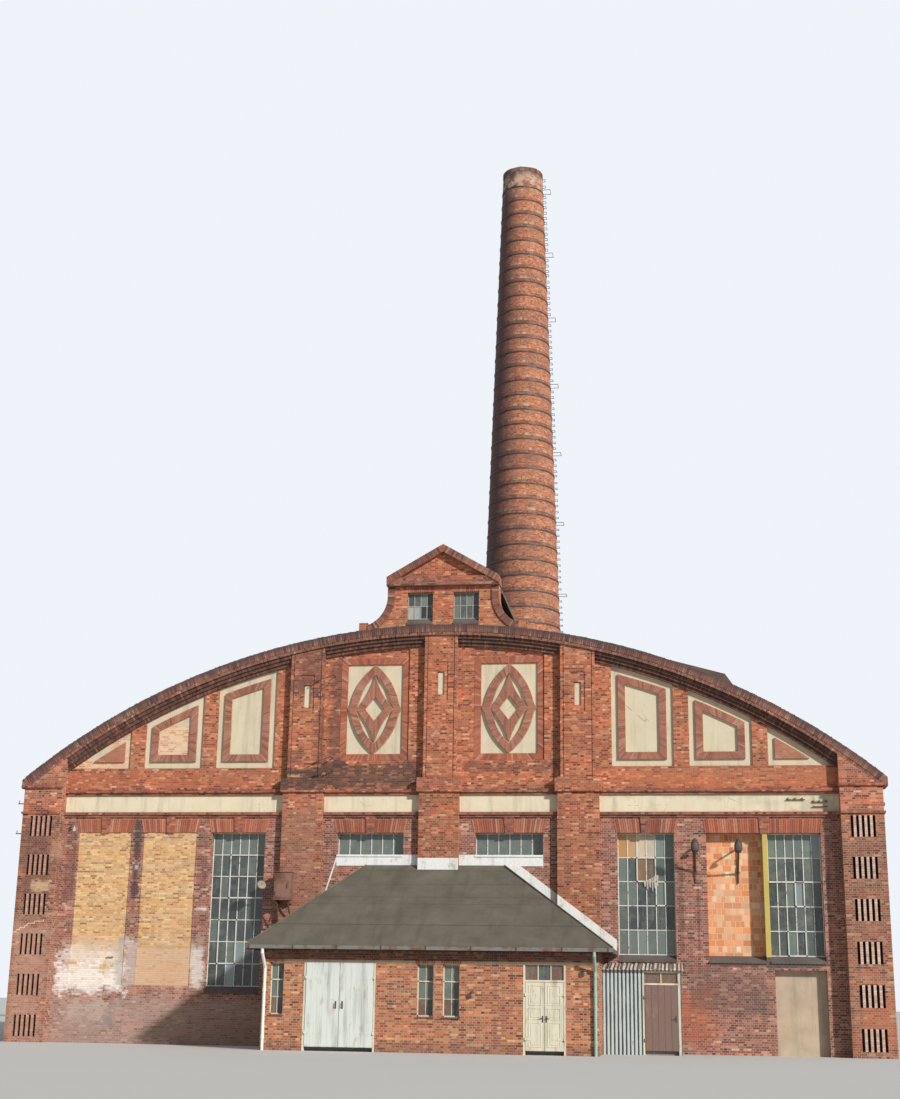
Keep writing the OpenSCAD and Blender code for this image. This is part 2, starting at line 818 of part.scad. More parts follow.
module gablet_body() {
    difference() {
        both_sides() translate([0, gable_wall_t, 0]) rotate([90, 0, 0])
            linear_extrude(gable_wall_t) gablet_half();
        arc_bar(gable_r, -1, gable_wall_t + 1);
        both_sides() slab(gablet_window_x, gablet_window_x + gablet_window_w,
            -1, gable_wall_t + 1, gablet_sill_z - sill_h, gablet_head_z);
    }
}

module gablet_wall() {
    color("firebrick") {
        at_front() gablet_body();
        mirror([0, 1, 0]) at_front() gablet_body();
    }
}

// Raking coping, eaves band and raised shoulder edges of the gablet
module gablet_trim() {
    band_z0 = gablet_eaves_z - gablet_band_h;
    both_sides() {
        translate([0, gable_wall_t, 0]) rotate([90, 0, 0])
            linear_extrude(gable_wall_t + coping_out - 50)
                polygon([[0, rake_z(0)], [0, gablet_apex_z], [gablet_hw, gablet_eaves_z],
                    [gablet_hw, rake_z(gablet_hw)]]);
        rotate([90, 0, 0]) linear_extrude(coping_out - 70)
            polygon([[0, band_z0], [gablet_hw, band_z0], [gablet_hw, rake_z(gablet_hw)],
                [(rake_z(0) - gablet_eaves_z) / rake_slope, gablet_eaves_z],
                [0, gablet_eaves_z]]);
        difference() {
            rotate([90, 0, 0]) linear_extrude(key_out) {
                translate([gablet_w / 2 - shoulder_w, scroll_z])
                    square([shoulder_w, band_z0 - scroll_z]);
                intersection() {
                    gablet_half();
                    shoulder_circle(scroll_r + shoulder_w);
                }
            }
            arc_bar(gable_r, -key_out - 1, 1);
        }
    }
}

module gablet_cornice() {
    color("saddlebrown") {
        at_front() gablet_trim();
        mirror([0, 1, 0]) at_front() gablet_trim();
    }
}

module gablet_windows(cols, rows) {
    both_sides() steel_window(gablet_window_x, gablet_window_x + gablet_window_w,
        gablet_sill_z, gablet_head_z, cols, rows, glass_in - 60);
}

module front_windows() {
    color("lightslategray") at_front() {
        for (w = [window_l3, window_r1, window_r3])
            steel_window(w[0], w[0] + w[1], w[2], head_z, w[3],
                round((head_z - w[2]) / pane_h), glass_in);
        for (w = [window_ml, window_mr])
            steel_window(w[0], w[0] + w[1], w[2], head_z, w[3], 1, glass_in);
        gablet_windows(4, 2);
    }
}

// Sloped sill from x0 to x1 with its upper edge at z, against the glazing at depth y
module sill(x0, x1, z, y) {
    translate([x0, 0, 0]) rotate([90, 0, 90]) linear_extrude(x1 - x0)
        polygon([[-key_out, z - sill_h], [-key_out, z - 0.75 * sill_h], [y, z],
            [y + sash_t, z], [y + sash_t, z - sill_h]]);
}

module gablet_sills() {
    both_sides() sill(gablet_window_x, gablet_window_x + gablet_window_w,
        gablet_sill_z, glass_in - 60);
}

module window_sills() {
    color("dimgray") {
        at_front() {
            for (w = [window_l3, window_r1, window_r3])
                sill(w[0], w[0] + w[1], w[2], glass_in);
            sill(window_r2[0], window_r2[0] + window_r2[1], window_r2[2], block_in);
            gablet_sills();
        }
        mirror([0, 1, 0]) at_front() {
            both_sides() for (w = rear_windows) sill(w[0], w[0] + w[1], w[2], glass_in);
            gablet_sills();
        }
        both_sides() at_side_bays() sill(-side_window_w / 2, side_window_w / 2,
            low_sill_z, side_glass_in);
    }
}

// Keystone over an opening at x, standing out of the wall face
module keystone(x) {
    translate([x, 0, 0]) rotate([90, 0, 0]) linear_extrude(key_out)
        polygon([[-key_w0 / 2, key_z0], [key_w0 / 2, key_z0], [key_w1 / 2, key_z1],
            [-key_w1 / 2, key_z1]]);
}

module keystones() {
    color("firebrick") {
        at_front() {
            for (w = [window_l1, window_l2, window_l3, window_ml, window_mr, window_r1])
                keystone(w[0] + w[1] / 2);
            keystone(window_r3[0] - post_w / 2);
        }
        mirror([0, 1, 0]) at_front() both_sides() for (w = rear_windows)
            keystone(w[0] + w[1] / 2);
        both_sides() at_side_bays() keystone(0);
    }
}

module yellow_brick_infill() {
    color("goldenrod") at_front() for (w = [window_l1, window_l2])
        slab(w[0], w[0] + w[1], infill_in, infill_in + infill_t, w[2], head_z);
}

block_in = glass_in + 60;

module block_infill() {
    color("peachpuff") at_front() slab(window_r2[0], window_r2[0] + window_r2[1],
        block_in, block_in + infill_t / 2, window_r2[2], head_z);
}

module doorway_infill() {
    color("lightgray") at_front() slab(blocked_door[0], blocked_door[0] + blocked_door[1],
        glass_in, glass_in + infill_t, 0, blocked_door[2]);
}

side_pitch = (hall_d - 2 * gable_wall_t) / side_bays;
side_pier_w = 600;
side_pier_out = 60;
side_glass_in = glass_in - 50;

// Children at the middle of every bay of the right side wall, seen from outside
module at_side_bays() {
    for (i = [0:side_bays - 1])
        translate([hw, front_y + gable_wall_t + (i + 0.5) * side_pitch, 0])
            rotate([0, 0, 90]) children();
}

// Side wall with window bays, on the right
module side_wall() {
    y0 = front_y + gable_wall_t;
    difference() {
        union() {
            slab(hw - side_wall_t, hw, y0, -y0, 0, eaves_z);
            for (i = [1:side_bays - 1])
                slab(hw - side_wall_t, hw + side_pier_out,
                    y0 + i * side_pitch - side_pier_w / 2,
                    y0 + i * side_pitch + side_pier_w / 2, 0, string_z);
            slab(hw - side_wall_t, hw + side_pier_out, y0, -y0, string_z, string_z + 50);
            slab(hw - side_wall_t, hw + side_pier_out / 2, y0, -y0, string_z + 50,
                eaves_z);
        }
        at_side_bays() slab(-side_window_w / 2, side_window_w / 2, -side_pier_out - 1,
            side_wall_t + 1, low_sill_z - sill_h, head_z);
    }
}

module side_wall_left() {
    color("firebrick") mirror([1, 0, 0]) side_wall();
}

module side_wall_right() {
    color("firebrick") side_wall();
}

rear_windows = [for (w = [window_r1, window_r2, window_r3]) [w[0], w[1], low_sill_z]];

module rear_wall() {
    color("firebrick") mirror([0, 1, 0]) at_front() difference() {
        union() {
            slab(-hw, hw, 0, gable_wall_t, 0, band_z);
            under_arc(wall_r, -hw, hw, 0, gable_wall_t, band_z);
            both_sides() {
                slab(pier_x0, hw, -pilaster_out, 1, 0, band_z);
                slab(mid_bay_x1, bay_x0, -pilaster_out, 1, 0, band_z - 75);
                slab(bay_x0, pier_x0, -side_pier_out, 1, string_z, string_z + 50);
                slab(bay_x0, pier_x0, -side_pier_out, 1, cornice_z, cornice_z + 100);
            }
        }
        both_sides() for (w = rear_windows) window_hole(w, sill_h);
        both_sides() for (f = field_list) field_space(f, 0, -1, field_sink);
    }
}

module side_windows() {
    color("lightslategray") {
        both_sides() at_side_bays() steel_window(-side_window_w / 2, side_window_w / 2,
            low_sill_z, head_z, 2, 2, side_glass_in);
        mirror([0, 1, 0]) at_front() {
            both_sides() for (w = rear_windows)
                steel_window(w[0], w[0] + w[1], w[2], head_z, 2, 2, glass_in);
            gablet_windows(2, 2);
        }
    }
}

// Level seats of the lantern walls on the curved roof
shelf_z = arc_at(roof_r, lantern_hw) - 12;
lantern_over = 120;

module hall_roof() {
    y0 = front_y + gable_wall_t;
    color("dimgray") difference() {
        arc_strip(roof_r - roof_t, roof_r, -hw - 90, hw + 90, y0, -y0, eaves_z);
        slab(-hw, hw, y0 - 1, -y0 + 1, shelf_z, crown_z + 1);
        slab(-lantern_hw + lantern_t, lantern_hw - lantern_t, y0 - 1, -y0 + 1, 0, crown_z);
    }
}

// Underside of the lantern roof over x
function lantern_z(x) = rake_z(x) - lantern_roof_t - 30;

module lantern_walls() {
    y0 = front_y + gable_wall_t;
    inner = lantern_hw - lantern_t;
    color("darkslategray") both_sides() translate([0, -y0, 0]) rotate([90, 0, 0])
        linear_extrude(-2 * y0) polygon([[inner, shelf_z], [lantern_hw, shelf_z],
            [lantern_hw, lantern_z(lantern_hw) - seat_gap],
            [inner, lantern_z(inner) - seat_gap]]);
}

// The lantern roof follows the slope of the gablet, below its coping
module lantern_roof() {
    over = lantern_hw + lantern_over;
    y0 = front_y + gable_wall_t;
    color("dimgray") translate([0, -y0, 0]) rotate([90, 0, 0]) linear_extrude(-2 * y0)
        polygon([[-over, lantern_z(over)], [0, lantern_z(0)], [over, lantern_z(over)],
            [over, lantern_z(over) + lantern_roof_t], [0, lantern_z(0) + lantern_roof_t],
            [-over, lantern_z(over) + lantern_roof_t]]);
}

// Height of a rooflight's upper side over the roof's curve
function light_z(x, rise) = arc_at(roof_r, x) + rise;

// Raised rooflight on the right slope, open to the roof below
module roof_light() {
    y0 = front_y + gable_wall_t + light_gap;
    knee_x = light_x1 - light_lip;
    top = [[light_x0, light_z(light_x0, light_rise0)],
        [knee_x, light_z(knee_x, light_rise1)],
        [light_x1, light_z(light_x1, light_rise2)]];
    foot = arc_at(roof_r, light_x1) + tip_cut;
    difference() {
        translate([0, -y0, 0]) rotate([90, 0, 0]) linear_extrude(-2 * y0)
            polygon([[light_x0, foot], top[0], top[1], top[2], [light_x1, foot]]);
        translate([0, -y0 - light_t, 0]) rotate([90, 0, 0])
            linear_extrude(-2 * (y0 + light_t))
                polygon([[light_x0 + light_t, 0], top[0] + [light_t, -1.3 * light_t],
                    top[1] + [0, -1.2 * light_t], top[2] + [-light_t, -light_t],
                    [light_x1 - light_t, 0]]);
        arc_bar(roof_r, y0 - 1, -y0 + 1);
    }
}

module roof_lights() {
    color("slategray") both_sides() roof_light();
}

// Space under the hipped annex roof, lowered by drop
module hip_block(drop) {
    x0 = annex_x0 - annex_over;
    x1 = annex_x1 + annex_over;
    y0 = -annex_d - annex_over;
    translate([0, 0, -drop]) polyhedron(
        points = [[x0, y0, -100], [x1, y0, -100], [x1, 0, -100], [x0, 0, -100],
            [x0, y0, annex_eaves_z], [x1, y0, annex_eaves_z], [x1, 0, annex_eaves_z],
            [x0, 0, annex_eaves_z], [annex_top_x1, 0, annex_top_z],
            [annex_top_x0, 0, annex_top_z]],
        faces = [[0, 1, 2, 3], [4, 5, 1, 0], [5, 6, 2, 1], [7, 4, 0, 3],
            [6, 8, 9, 7, 3, 2], [4, 9, 8, 5], [5, 8, 6], [4, 7, 9]]);
}

module annex_roof() {
    color("dimgray") at_front() difference() {
        hip_block(0);
        hip_block(annex_roof_t);
        slab(-big, big, -big, big, -big, annex_eaves_z - annex_roof_t);
        pilaster_feet();
    }
}

module annex_openings() {
    slab(yard_x0, yard_x0 + yard_w, -annex_d - 1, 0, -1, annex_head_z + lintel_h);
    slab(entrance_x0, entrance_x0 + entrance_w, -annex_d - 1, 0, -1,
        annex_head_z + lintel_h);
    for (w = annex_window_list)
        slab(w[0], w[0] + w[1], -annex_d - 1, 0, annex_sill_z, annex_head_z);
}

over_z = annex_head_z + lintel_h;

module annex_front_wall() {
    color("indianred") at_front() difference() {
        slab(annex_x0, annex_x1, -annex_d, -annex_d + annex_wall_t, 0, over_z);
        annex_openings();
    }
}

module annex_lintels() {
    color("darkred") at_front() difference() {
        slab(annex_x0, annex_x1, -annex_d, -annex_d + annex_wall_t, over_z,
            annex_top_z);
        hip_top_cut();
    }
}

// Everything above the underside of the annex roof
module hip_top_cut() {
    difference() {
        slab(-hw, hw, front_y, -front_y, 0, crown_z);
        hip_block(annex_roof_t);
    }
}

module annex_side_walls() {
    color("indianred") at_front() difference() {
        for (x = [annex_x0, annex_x1 - annex_wall_t])
            slab(x, x + annex_wall_t, -annex_d + annex_wall_t, 0, 0, annex_top_z);
        hip_top_cut();
        pilaster_feet();
    }
}

// Height of the annex roof over x along the hall wall
function hip_z(x) = x < annex_top_x0
    ? annex_top_z - (annex_top_x0 - x) * (annex_top_z - annex_eaves_z)
        / (annex_top_x0 - annex_x0 + annex_over)
    : annex_top_z - (x - annex_top_x1) * (annex_top_z - annex_eaves_z)
        / (annex_x1 + annex_over - annex_top_x1);

// Flashing on the hall wall at depth y, following the hip from x0 to x1
module hip_flashing(x0, x1, y, h) {
    translate([0, y, 0]) rotate([90, 0, 0]) linear_extrude(flashing_t)
        polygon([[x0, hip_z(x0)], [x1, hip_z(x1)], [x1, hip_z(x1) + h],
            [x0, hip_z(x0) + h]]);
}

module annex_flashing() {
    right = annex_x1 + annex_over - 20;
    left = annex_x0 - annex_over + 20;
    color("white") at_front() difference() {
        union() {
            slab(mid_bay_x0, window_mr[0] + window_mr[1], -flashing_t, 0,
                annex_top_z - 20, strip_sill_z);
            slab(window_ml[0], -mid_bay_x0, -flashing_t, 0, annex_top_z - 20,
                strip_sill_z);
            slab(-mid_bay_x0, mid_bay_x0, -pilaster_out - flashing_t, -pilaster_out,
                annex_top_z - pilaster_out, annex_top_z + 110);
            hip_flashing(annex_top_x1, mid_bay_x1, 0, flashing_right);
            hip_flashing(mid_bay_x1, bay_x0, -pilaster_out, flashing_right);
            hip_flashing(bay_x0, right, 0, flashing_right);
            hip_flashing(-mid_bay_x1, annex_top_x0, 0, flashing_left);
            hip_flashing(-bay_x0, -mid_bay_x1, -pilaster_out, flashing_left);
        }
        hip_block(0);
        slab(left, right, -flashing_t - 1, 1, strip_sill_z, crown_z);
    }
}

module annex_windows() {
    color("saddlebrown") at_front() for (w = annex_window_list)
        steel_window(w[0], w[0] + w[1], annex_sill_z, annex_head_z, 2, 3,
            -annex_d + 80);
}

gutter_y = -annex_d - annex_over;

module annex_gutter() {
    color("darkseagreen") at_front() difference() {
        slab(annex_x0 - annex_over, annex_x1 + annex_over, gutter_y - gutter_w, gutter_y,
            annex_eaves_z - annex_roof_t, annex_eaves_z - 10);
        slab(annex_x0 - annex_over + gutter_t, annex_x1 + annex_over - gutter_t,
            gutter_y - gutter_w + gutter_t, gutter_y - gutter_t,
            annex_eaves_z - annex_roof_t + gutter_t, annex_eaves_z);
    }
}

// Pipe from the gutter, back to the wall in a swan neck and down to the ground at x
module downpipe(x) {
    y0 = gutter_y - gutter_w / 2;
    y1 = -annex_d - 1.5 * pipe_r;
    elbow_out = 3;
    z0 = annex_eaves_z - annex_roof_t - seat_gap;
    z1 = z0 - 2.5 * pipe_r;
    reach = y1 - y0;
    translate([x, y0, z1]) cylinder(r = pipe_r, h = z0 - z1);
    translate([x, y0, z1]) sphere(r = pipe_r + elbow_out);
    translate([x, y0, z1]) rotate([-135, 0, 0]) cylinder(r = pipe_r, h = reach * sqrt(2));
    translate([x, y1, z1 - reach]) sphere(r = pipe_r + elbow_out);
    translate([x, y1, 0]) cylinder(r = pipe_r, h = z1 - reach);
    for (z = [0.12 * z1, 0.6 * z1]) {
        translate([x, y1, z]) cylinder(r = pipe_r + 5, h = 2 * pipe_r);
        slab(x - pipe_r / 3, x + pipe_r / 3, y1, -annex_d, z, z + 12);
    }
}

module downpipes() {
    color("darkseagreen") at_front() {
        downpipe(annex_x0 + 2 * pipe_r);
        downpipe(annex_x1 - 2 * pipe_r);
    }
}

// Door frame round an opening from x0, w wide and h high, with the leaf head at lh
module door_frame(x0, w, h, lh, y) {
    slab(x0, x0 + frame_w, y, y + frame_d, 0, h);
    slab(x0 + w - frame_w, x0 + w, y, y + frame_d, 0, h);
    slab(x0, x0 + w, y, y + frame_d, h - frame_w, h);
    if (lh < h - 2 * frame_w) {
        slab(x0, x0 + w, y, y + frame_d, lh, lh + frame_w);
        slab(x0, x0 + w, y + frame_d / 2, y + frame_d / 2 + glass_t, lh, h);
    }
}

porch_door_x0 = annex_x1 + porch_w - porch_wall_t - porch_leaf_w
    - 2 * (leaf_gap + frame_w);
entrance_head = floor_t + entrance_leaf_h + 2 * leaf_gap;
porch_head = floor_t + porch_leaf_h + 2 * leaf_gap;

module door_frames() {
    color("burlywood") at_front() {
        door_frame(yard_x0, yard_w, over_z, over_z - frame_w, -annex_d);
        door_frame(entrance_x0, entrance_w, over_z, entrance_head, -annex_d);
        door_frame(porch_door_x0, porch_leaf_w + 2 * (leaf_gap + frame_w),
            porch_h - porch_wall_t, porch_head, -porch_d);
    }
}

// Heights of the hinges on a leaf from z0, h high
function hinge_heights(z0, h) = [z0 + 0.15 * h, z0 + 0.8 * h];

// Pin on its bracket, beside the frame at x, face at y
module hinge_pins(x, y, z0, h) {
    for (z = hinge_heights(z0, h)) {
        translate([x, y - pin_out, z - 12]) cylinder(r = pin_r, h = knuckle_h + 12);
        translate([x, y - pin_out, z - 12]) cylinder(r = knuckle_r, h = 11.7);
        slab(x - knuckle_r, x + knuckle_r, y - pin_out, y, z - 12, z - 0.3);
    }
}

// Leaf w wide with its knuckles, hinged at the origin and reaching along +X
module leaf(w, h, z0) {
    slab(leaf_gap, w, pin_out, pin_out + leaf_t, z0, z0 + h);
    for (z = hinge_heights(z0, h)) difference() {
        union() {
            translate([0, 0, z]) cylinder(r = knuckle_r, h = knuckle_h);
            slab(0, min(w * 0.6, 300), knuckle_r - 3, pin_out, z, z + knuckle_h);
        }
        translate([0, 0, z - 1]) cylinder(r = pin_r + pin_clear, h = knuckle_h + 2);
    }
}

yard_leaf_z = floor_t + leaf_gap;
yard_leaf_h = over_z - frame_w - leaf_gap - yard_leaf_z;
leaf_z = floor_t + leaf_gap;

module door_hinges() {
    color("dimgray") at_front() {
        for (x = [yard_x0 + frame_w, yard_x0 + yard_w - frame_w])
            hinge_pins(x, -annex_d, yard_leaf_z, yard_leaf_h);
        for (x = [entrance_x0 + frame_w, entrance_x0 + entrance_w - frame_w])
            hinge_pins(x, -annex_d, leaf_z, entrance_leaf_h);
        hinge_pins(porch_door_x0 + frame_w, -porch_d, leaf_z, porch_leaf_h);
    }
}

yard_clear = yard_w - 2 * frame_w;
entrance_clear = entrance_w - 2 * frame_w;

module entrance_door_left() {
    color("cornsilk") at_front() translate([entrance_x0 + frame_w, -annex_d - pin_out, 0])
        leaf((entrance_clear - leaf_gap) / 2, entrance_leaf_h, leaf_z);
}

module entrance_door_right() {
    color("cornsilk") at_front()
        translate([entrance_x0 + entrance_w - frame_w, -annex_d - pin_out, 0])
            mirror([1, 0, 0]) leaf((entrance_clear - leaf_gap) / 2, entrance_leaf_h, leaf_z);
}

module yard_door_left() {
    color("gainsboro") at_front() translate([yard_x0 + frame_w, -annex_d - pin_out, 0])
        leaf((yard_clear - leaf_gap) / 2, yard_leaf_h, yard_leaf_z);
}

module yard_door_right() {
    color("gainsboro") at_front()
        translate([yard_x0 + yard_w - frame_w, -annex_d - pin_out, 0])
            mirror([1, 0, 0]) leaf((yard_clear - leaf_gap) / 2, yard_leaf_h, yard_leaf_z);
}

module porch_door() {
    color("peru") at_front() translate([porch_door_x0 + frame_w, -porch_d - pin_out, 0])
        leaf(porch_leaf_w + leaf_gap, porch_leaf_h, leaf_z);
}

module porch_walls() {
    x1 = annex_x1 + porch_w;
    color("cadetblue") at_front() difference() {
        union() {
            folded_sheet(annex_x1, porch_door_x0);
            slab(porch_door_x0, x1, -porch_d, -porch_d + porch_wall_t,
                porch_h - porch_wall_t, porch_h);
            slab(x1 - porch_wall_t, x1, -porch_d, 0, 0, porch_h + porch_rise);
        }
        porch_top_cut();
    }
}

// Front sheet of the porch from x0 to x1, with upright folds
module folded_sheet(x0, x1) {
    folds = round((x1 - x0) / sheet_pitch);
    pitch = (x1 - x0) / folds;
    difference() {
        slab(x0, x1, -porch_d, -porch_d + porch_wall_t, 0, porch_h);
        for (i = [0:folds - 1])
            slab(x0 + (i + 0.5) * pitch, x0 + (i + 1) * pitch - 5, -porch_d - 1,
                -porch_d + sheet_fold, -1, porch_h - 40);
    }
}

// Everything above the underside of the porch roof
module porch_top_cut() {
    translate([annex_x1 - 10, 0, 0]) rotate([90, 0, 90]) linear_extrude(porch_w + 200)
        polygon([[0, porch_h + porch_rise], [-porch_d, porch_h], [-porch_d - 200, porch_h],
            [-porch_d - 200, big], [0, big]]);
}

module porch_roof() {
    folds = round(porch_w / 100);
    pitch = (porch_w + 60) / folds;
    tilt = atan(porch_rise / porch_d);
    color("darkgray") at_front() translate([annex_x1, 0, porch_h + porch_rise])
        rotate([tilt, 0, 0]) difference() {
            slab(0, porch_w + 60, -porch_d - 80, 0, 0, sheet_t + fold_d);
            for (i = [0:folds - 1])
                slab((i + 0.5) * pitch, (i + 1) * pitch, -porch_d - 81, 1, sheet_t, big);
        }
}

chimney_y = -front_y + plinth_w / 2;
chimney_slope = (chimney_r0 - chimney_r1) / chimney_h;

function shaft_r(z) = chimney_r0 - chimney_slope * z;

function flue_r(z) = shaft_r(z) - chimney_wall0
    + (chimney_wall0 - chimney_wall1) * z / chimney_h;

module chimney_plinth() {
    color("firebrick") translate([0, chimney_y, 0]) difference() {
        union() {
            slab(-plinth_w / 2, plinth_w / 2, -plinth_w / 2, plinth_w / 2, 0, plinth_h);
            slab(-plinth_w / 2 + 60, plinth_w / 2 - 60, -plinth_w / 2 + 60,
                plinth_w / 2 - 60, plinth_h, plinth_h + 120);
        }
        translate([0, 0, floor_t]) cylinder(r = flue_r(plinth_h), h = big);
    }
}

module chimney_shaft() {
    z0 = plinth_h + 120;
    color("chocolate") translate([0, chimney_y, z0]) rotate_extrude($fn = 180)
        polygon([[flue_r(plinth_h), 0], [shaft_r(z0), 0], [chimney_r1, chimney_h - z0],
            [flue_r(chimney_h), chimney_h - z0]]);
}

hoop_count = floor((chimney_h - plinth_h - 400) / hoop_pitch);

function hoop_z(i) = plinth_h + 120 + i * hoop_pitch;

// Iron hoops round the shaft, each with the block that closes it
module chimney_hoops() {
    color("black") translate([0, chimney_y, 0]) for (i = [1:hoop_count]) {
        z = hoop_z(i);
        r = shaft_r(z) + seat_gap;
        translate([0, 0, z]) {
            rotate_extrude($fn = 180) polygon([[r, 0], [r + hoop_t, 0],
                [r + hoop_t, hoop_h], [shaft_r(z + hoop_h) + seat_gap, hoop_h]]);
            rotate([0, 0, -115]) slab(r + 0.5 * hoop_t, r + 3 * hoop_t, -hoop_h,
                hoop_h, -4, hoop_h + 4);
        }
    }
}

// Iron loop that stands out of the shaft, w wide
module step_iron(z, out, w) {
    r = shaft_r(z);
    inner = w / 2 - iron_t;
    root = sqrt(r * r - inner * inner) + seat_gap;
    translate([0, 0, z]) {
        for (y = [-w / 2, w / 2 - iron_t])
            slab(root, r + out, y, y + iron_t, 0, iron_t);
        slab(r + out - iron_t, r + out, -w / 2, w / 2, 0, iron_t);
    }
}

// Row of step irons up the right side, with a wide rest iron every few steps
module chimney_ladder() {
    count = floor((chimney_h - iron_z0 - 150) / iron_pitch);
    color("black") translate([0, chimney_y, 0]) for (i = [0:count]) {
        z = iron_z(iron_z0 + i * iron_pitch);
        if (i % rest_step == rest_step - 1)
            step_iron(z, rest_out, 2 * iron_w);
        else
            step_iron(z, iron_out, iron_w);
    }
}

// Step irons keep clear of the hoops: one that would meet a hoop moves beside it
function iron_z(z) = let (over = (z - hoop_z(0)) % hoop_pitch)
    over < hoop_h + iron_t / 2 ? z - over + hoop_h + iron_t / 2
        : over > hoop_pitch - 1.5 * iron_t ? z - over + hoop_pitch - 1.5 * iron_t : z;

// Lamp on an arm, fixed to a face at depth y
module wall_lamp(x, y) {
    slab(x - 12, x + 12, y - 25, y, lamp_z - 526, lamp_z + 24);
    slab(x - 12, x + 12, -lamp_out, y, lamp_z, lamp_z + 24);
    translate([x, -lamp_out, lamp_z - 50]) cylinder(r1 = 55, r2 = 16, h = 74);
}

// Cabinet on the left pilaster, with its legs and sloped lid
module cabinet() {
    x0 = -bay_x0 - 40;
    translate([x0, 0, 0]) {
        slab(0, cabinet_w, -pilaster_out - cabinet_d, -pilaster_out, cabinet_z + 60,
            cabinet_z + cabinet_h);
        for (x = [10, cabinet_w - 40])
            slab(x, x + 30, -pilaster_out - 0.7 * cabinet_d, -pilaster_out, cabinet_z,
                cabinet_z + 60);
        slab(-12, cabinet_w + 12, -pilaster_out - cabinet_d - 20, -pilaster_out,
            cabinet_z + cabinet_h, cabinet_z + cabinet_h + 14);
    }
}

module wall_fittings() {
    color("saddlebrown") at_front() {
        cabinet();
        wall_lamp(window_r2[0] - 200, 0);
        wall_lamp(window_r2[0] + 535, block_in);
    }
}

ground_floors();
front_wall_left();
front_wall_middle();
front_wall_right();
front_gable();
corner_piers();
front_pilasters();
string_course();
front_cornice();
cream_panels();
panel_frames();
lozenge_reliefs();
gable_corbels();
gable_coping();
gablet_wall();
gablet_cornice();
front_windows();
yellow_brick_infill();
block_infill();
doorway_infill();
side_wall_left();
side_wall_right();
rear_wall();
side_windows();
hall_roof();
lantern_walls();
lantern_roof();
roof_lights();
annex_front_wall();
annex_lintels();
annex_side_walls();
annex_roof();
annex_flashing();
annex_windows();
annex_gutter();
door_frames();
door_hinges();
entrance_door_left();
entrance_door_right();
yard_door_left();
yard_door_right();
porch_door();
porch_walls();
porch_roof();
chimney_plinth();
chimney_shaft();
chimney_hoops();
chimney_ladder();
wall_fittings();
window_sills();
keystones();
downpipes();
pier_caps();
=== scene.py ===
"""Dresses the engine hall and its chimney: brickwork, joinery, roofing, ironwork and light."""

import math
import random

import bmesh
import bpy
from mathutils import Matrix, Vector


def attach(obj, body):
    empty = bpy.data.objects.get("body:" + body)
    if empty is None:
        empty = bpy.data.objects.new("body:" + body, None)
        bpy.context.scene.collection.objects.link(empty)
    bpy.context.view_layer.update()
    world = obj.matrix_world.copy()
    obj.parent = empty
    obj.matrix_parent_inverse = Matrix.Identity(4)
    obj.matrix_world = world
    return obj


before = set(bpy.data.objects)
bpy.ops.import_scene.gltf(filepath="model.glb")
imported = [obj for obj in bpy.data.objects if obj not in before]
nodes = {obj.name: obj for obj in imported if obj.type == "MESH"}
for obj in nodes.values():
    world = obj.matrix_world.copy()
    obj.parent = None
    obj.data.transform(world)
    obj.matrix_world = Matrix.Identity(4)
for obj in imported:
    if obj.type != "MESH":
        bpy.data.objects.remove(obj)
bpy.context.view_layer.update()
chance = random.Random(41)

# Places taken over from the solids, in metres
FRONT_Y, ANNEX_Y, PORCH_Y = -6.7, -8.7, -7.5
HALL_HALF = 7.7
BAY_X, PIER_X = 2.85, 7.3375
MID_FIELDS = (-1.235, 1.235)
ARC_Z = -4.75
COPING_R, WALL_R, CORBEL_R, ROOF_R = 12.2, 12.01, 11.83, 11.9
CHIMNEY_Y, CHIMNEY_TOP = 8.45, 25.0
SHAFT_R = 1.443
CHIMNEY_SLOPE = (SHAFT_R - 0.592) / CHIMNEY_TOP
HOOP_Z, HOOP_PITCH, HOOPS_ABOVE = 2.84, 0.45, 48
COURSE, STRETCHER, JOINT = 0.0385, 0.131, 0.0045
HEAD_Z, TALL_SILL_Z, RIGHT_SILL_Z = 3.69, 1.0, 1.62
ARCH_TOP = HEAD_Z + 0.235
BAR = 0.014
LEFT_WINDOWS = [(-6.674, -5.681), (-5.441, -4.448), (-4.168, -3.175)]
MID_WINDOWS, MID_SILL_Z = [(-1.85, -0.645), (0.645, 1.85)], 3.3
RIGHT_WINDOWS = [(3.15, 4.138), (4.688, 5.648), (5.723, 6.64)]
REAR_WINDOWS = [sorted((side * x0, side * x1)) for side in (-1, 1) for x0, x1 in RIGHT_WINDOWS]
# Left edges with one width, and left edge and width of each
GABLET_WINDOWS, GABLET_WIDE, GABLET_HEAD = (-0.67, 0.19), 0.48, 8.11
ANNEX_WINDOWS = [(-2.47, 0.23), (-0.03, 0.27), (0.39, 0.275)]
ANNEX_SILL, ANNEX_HEAD = 0.56, 1.38
ANNEX_EAVES, ANNEX_RIDGE = (-2.84, 3.14), (-1.3, 1.175)
SIDE_PITCH, SIDE_HALF = 12.76 / 6, 0.49
SIDE_WINDOWS = [-6.38 + (i + 0.5) * SIDE_PITCH for i in range(6)]
SHEET_X, SHEET_PITCH = 2.9, 0.065


# Node helpers

def feed(socket, value):
    """Joins a socket to an input, or sets a number, vector or colour on it."""
    if isinstance(value, bpy.types.NodeSocket):
        socket.id_data.links.new(value, socket)
    else:
        socket.default_value = (*value, 1.0) if socket.type == "RGBA" else value


def add_node(tree, kind, values=None, **settings):
    """A shader node with its settings, and values or sockets for its inputs."""
    made = tree.nodes.new("ShaderNode" + kind)
    for key, value in settings.items():
        setattr(made, key, value)
    for key, value in (values or {}).items():
        feed(made.inputs[key], value)
    return made


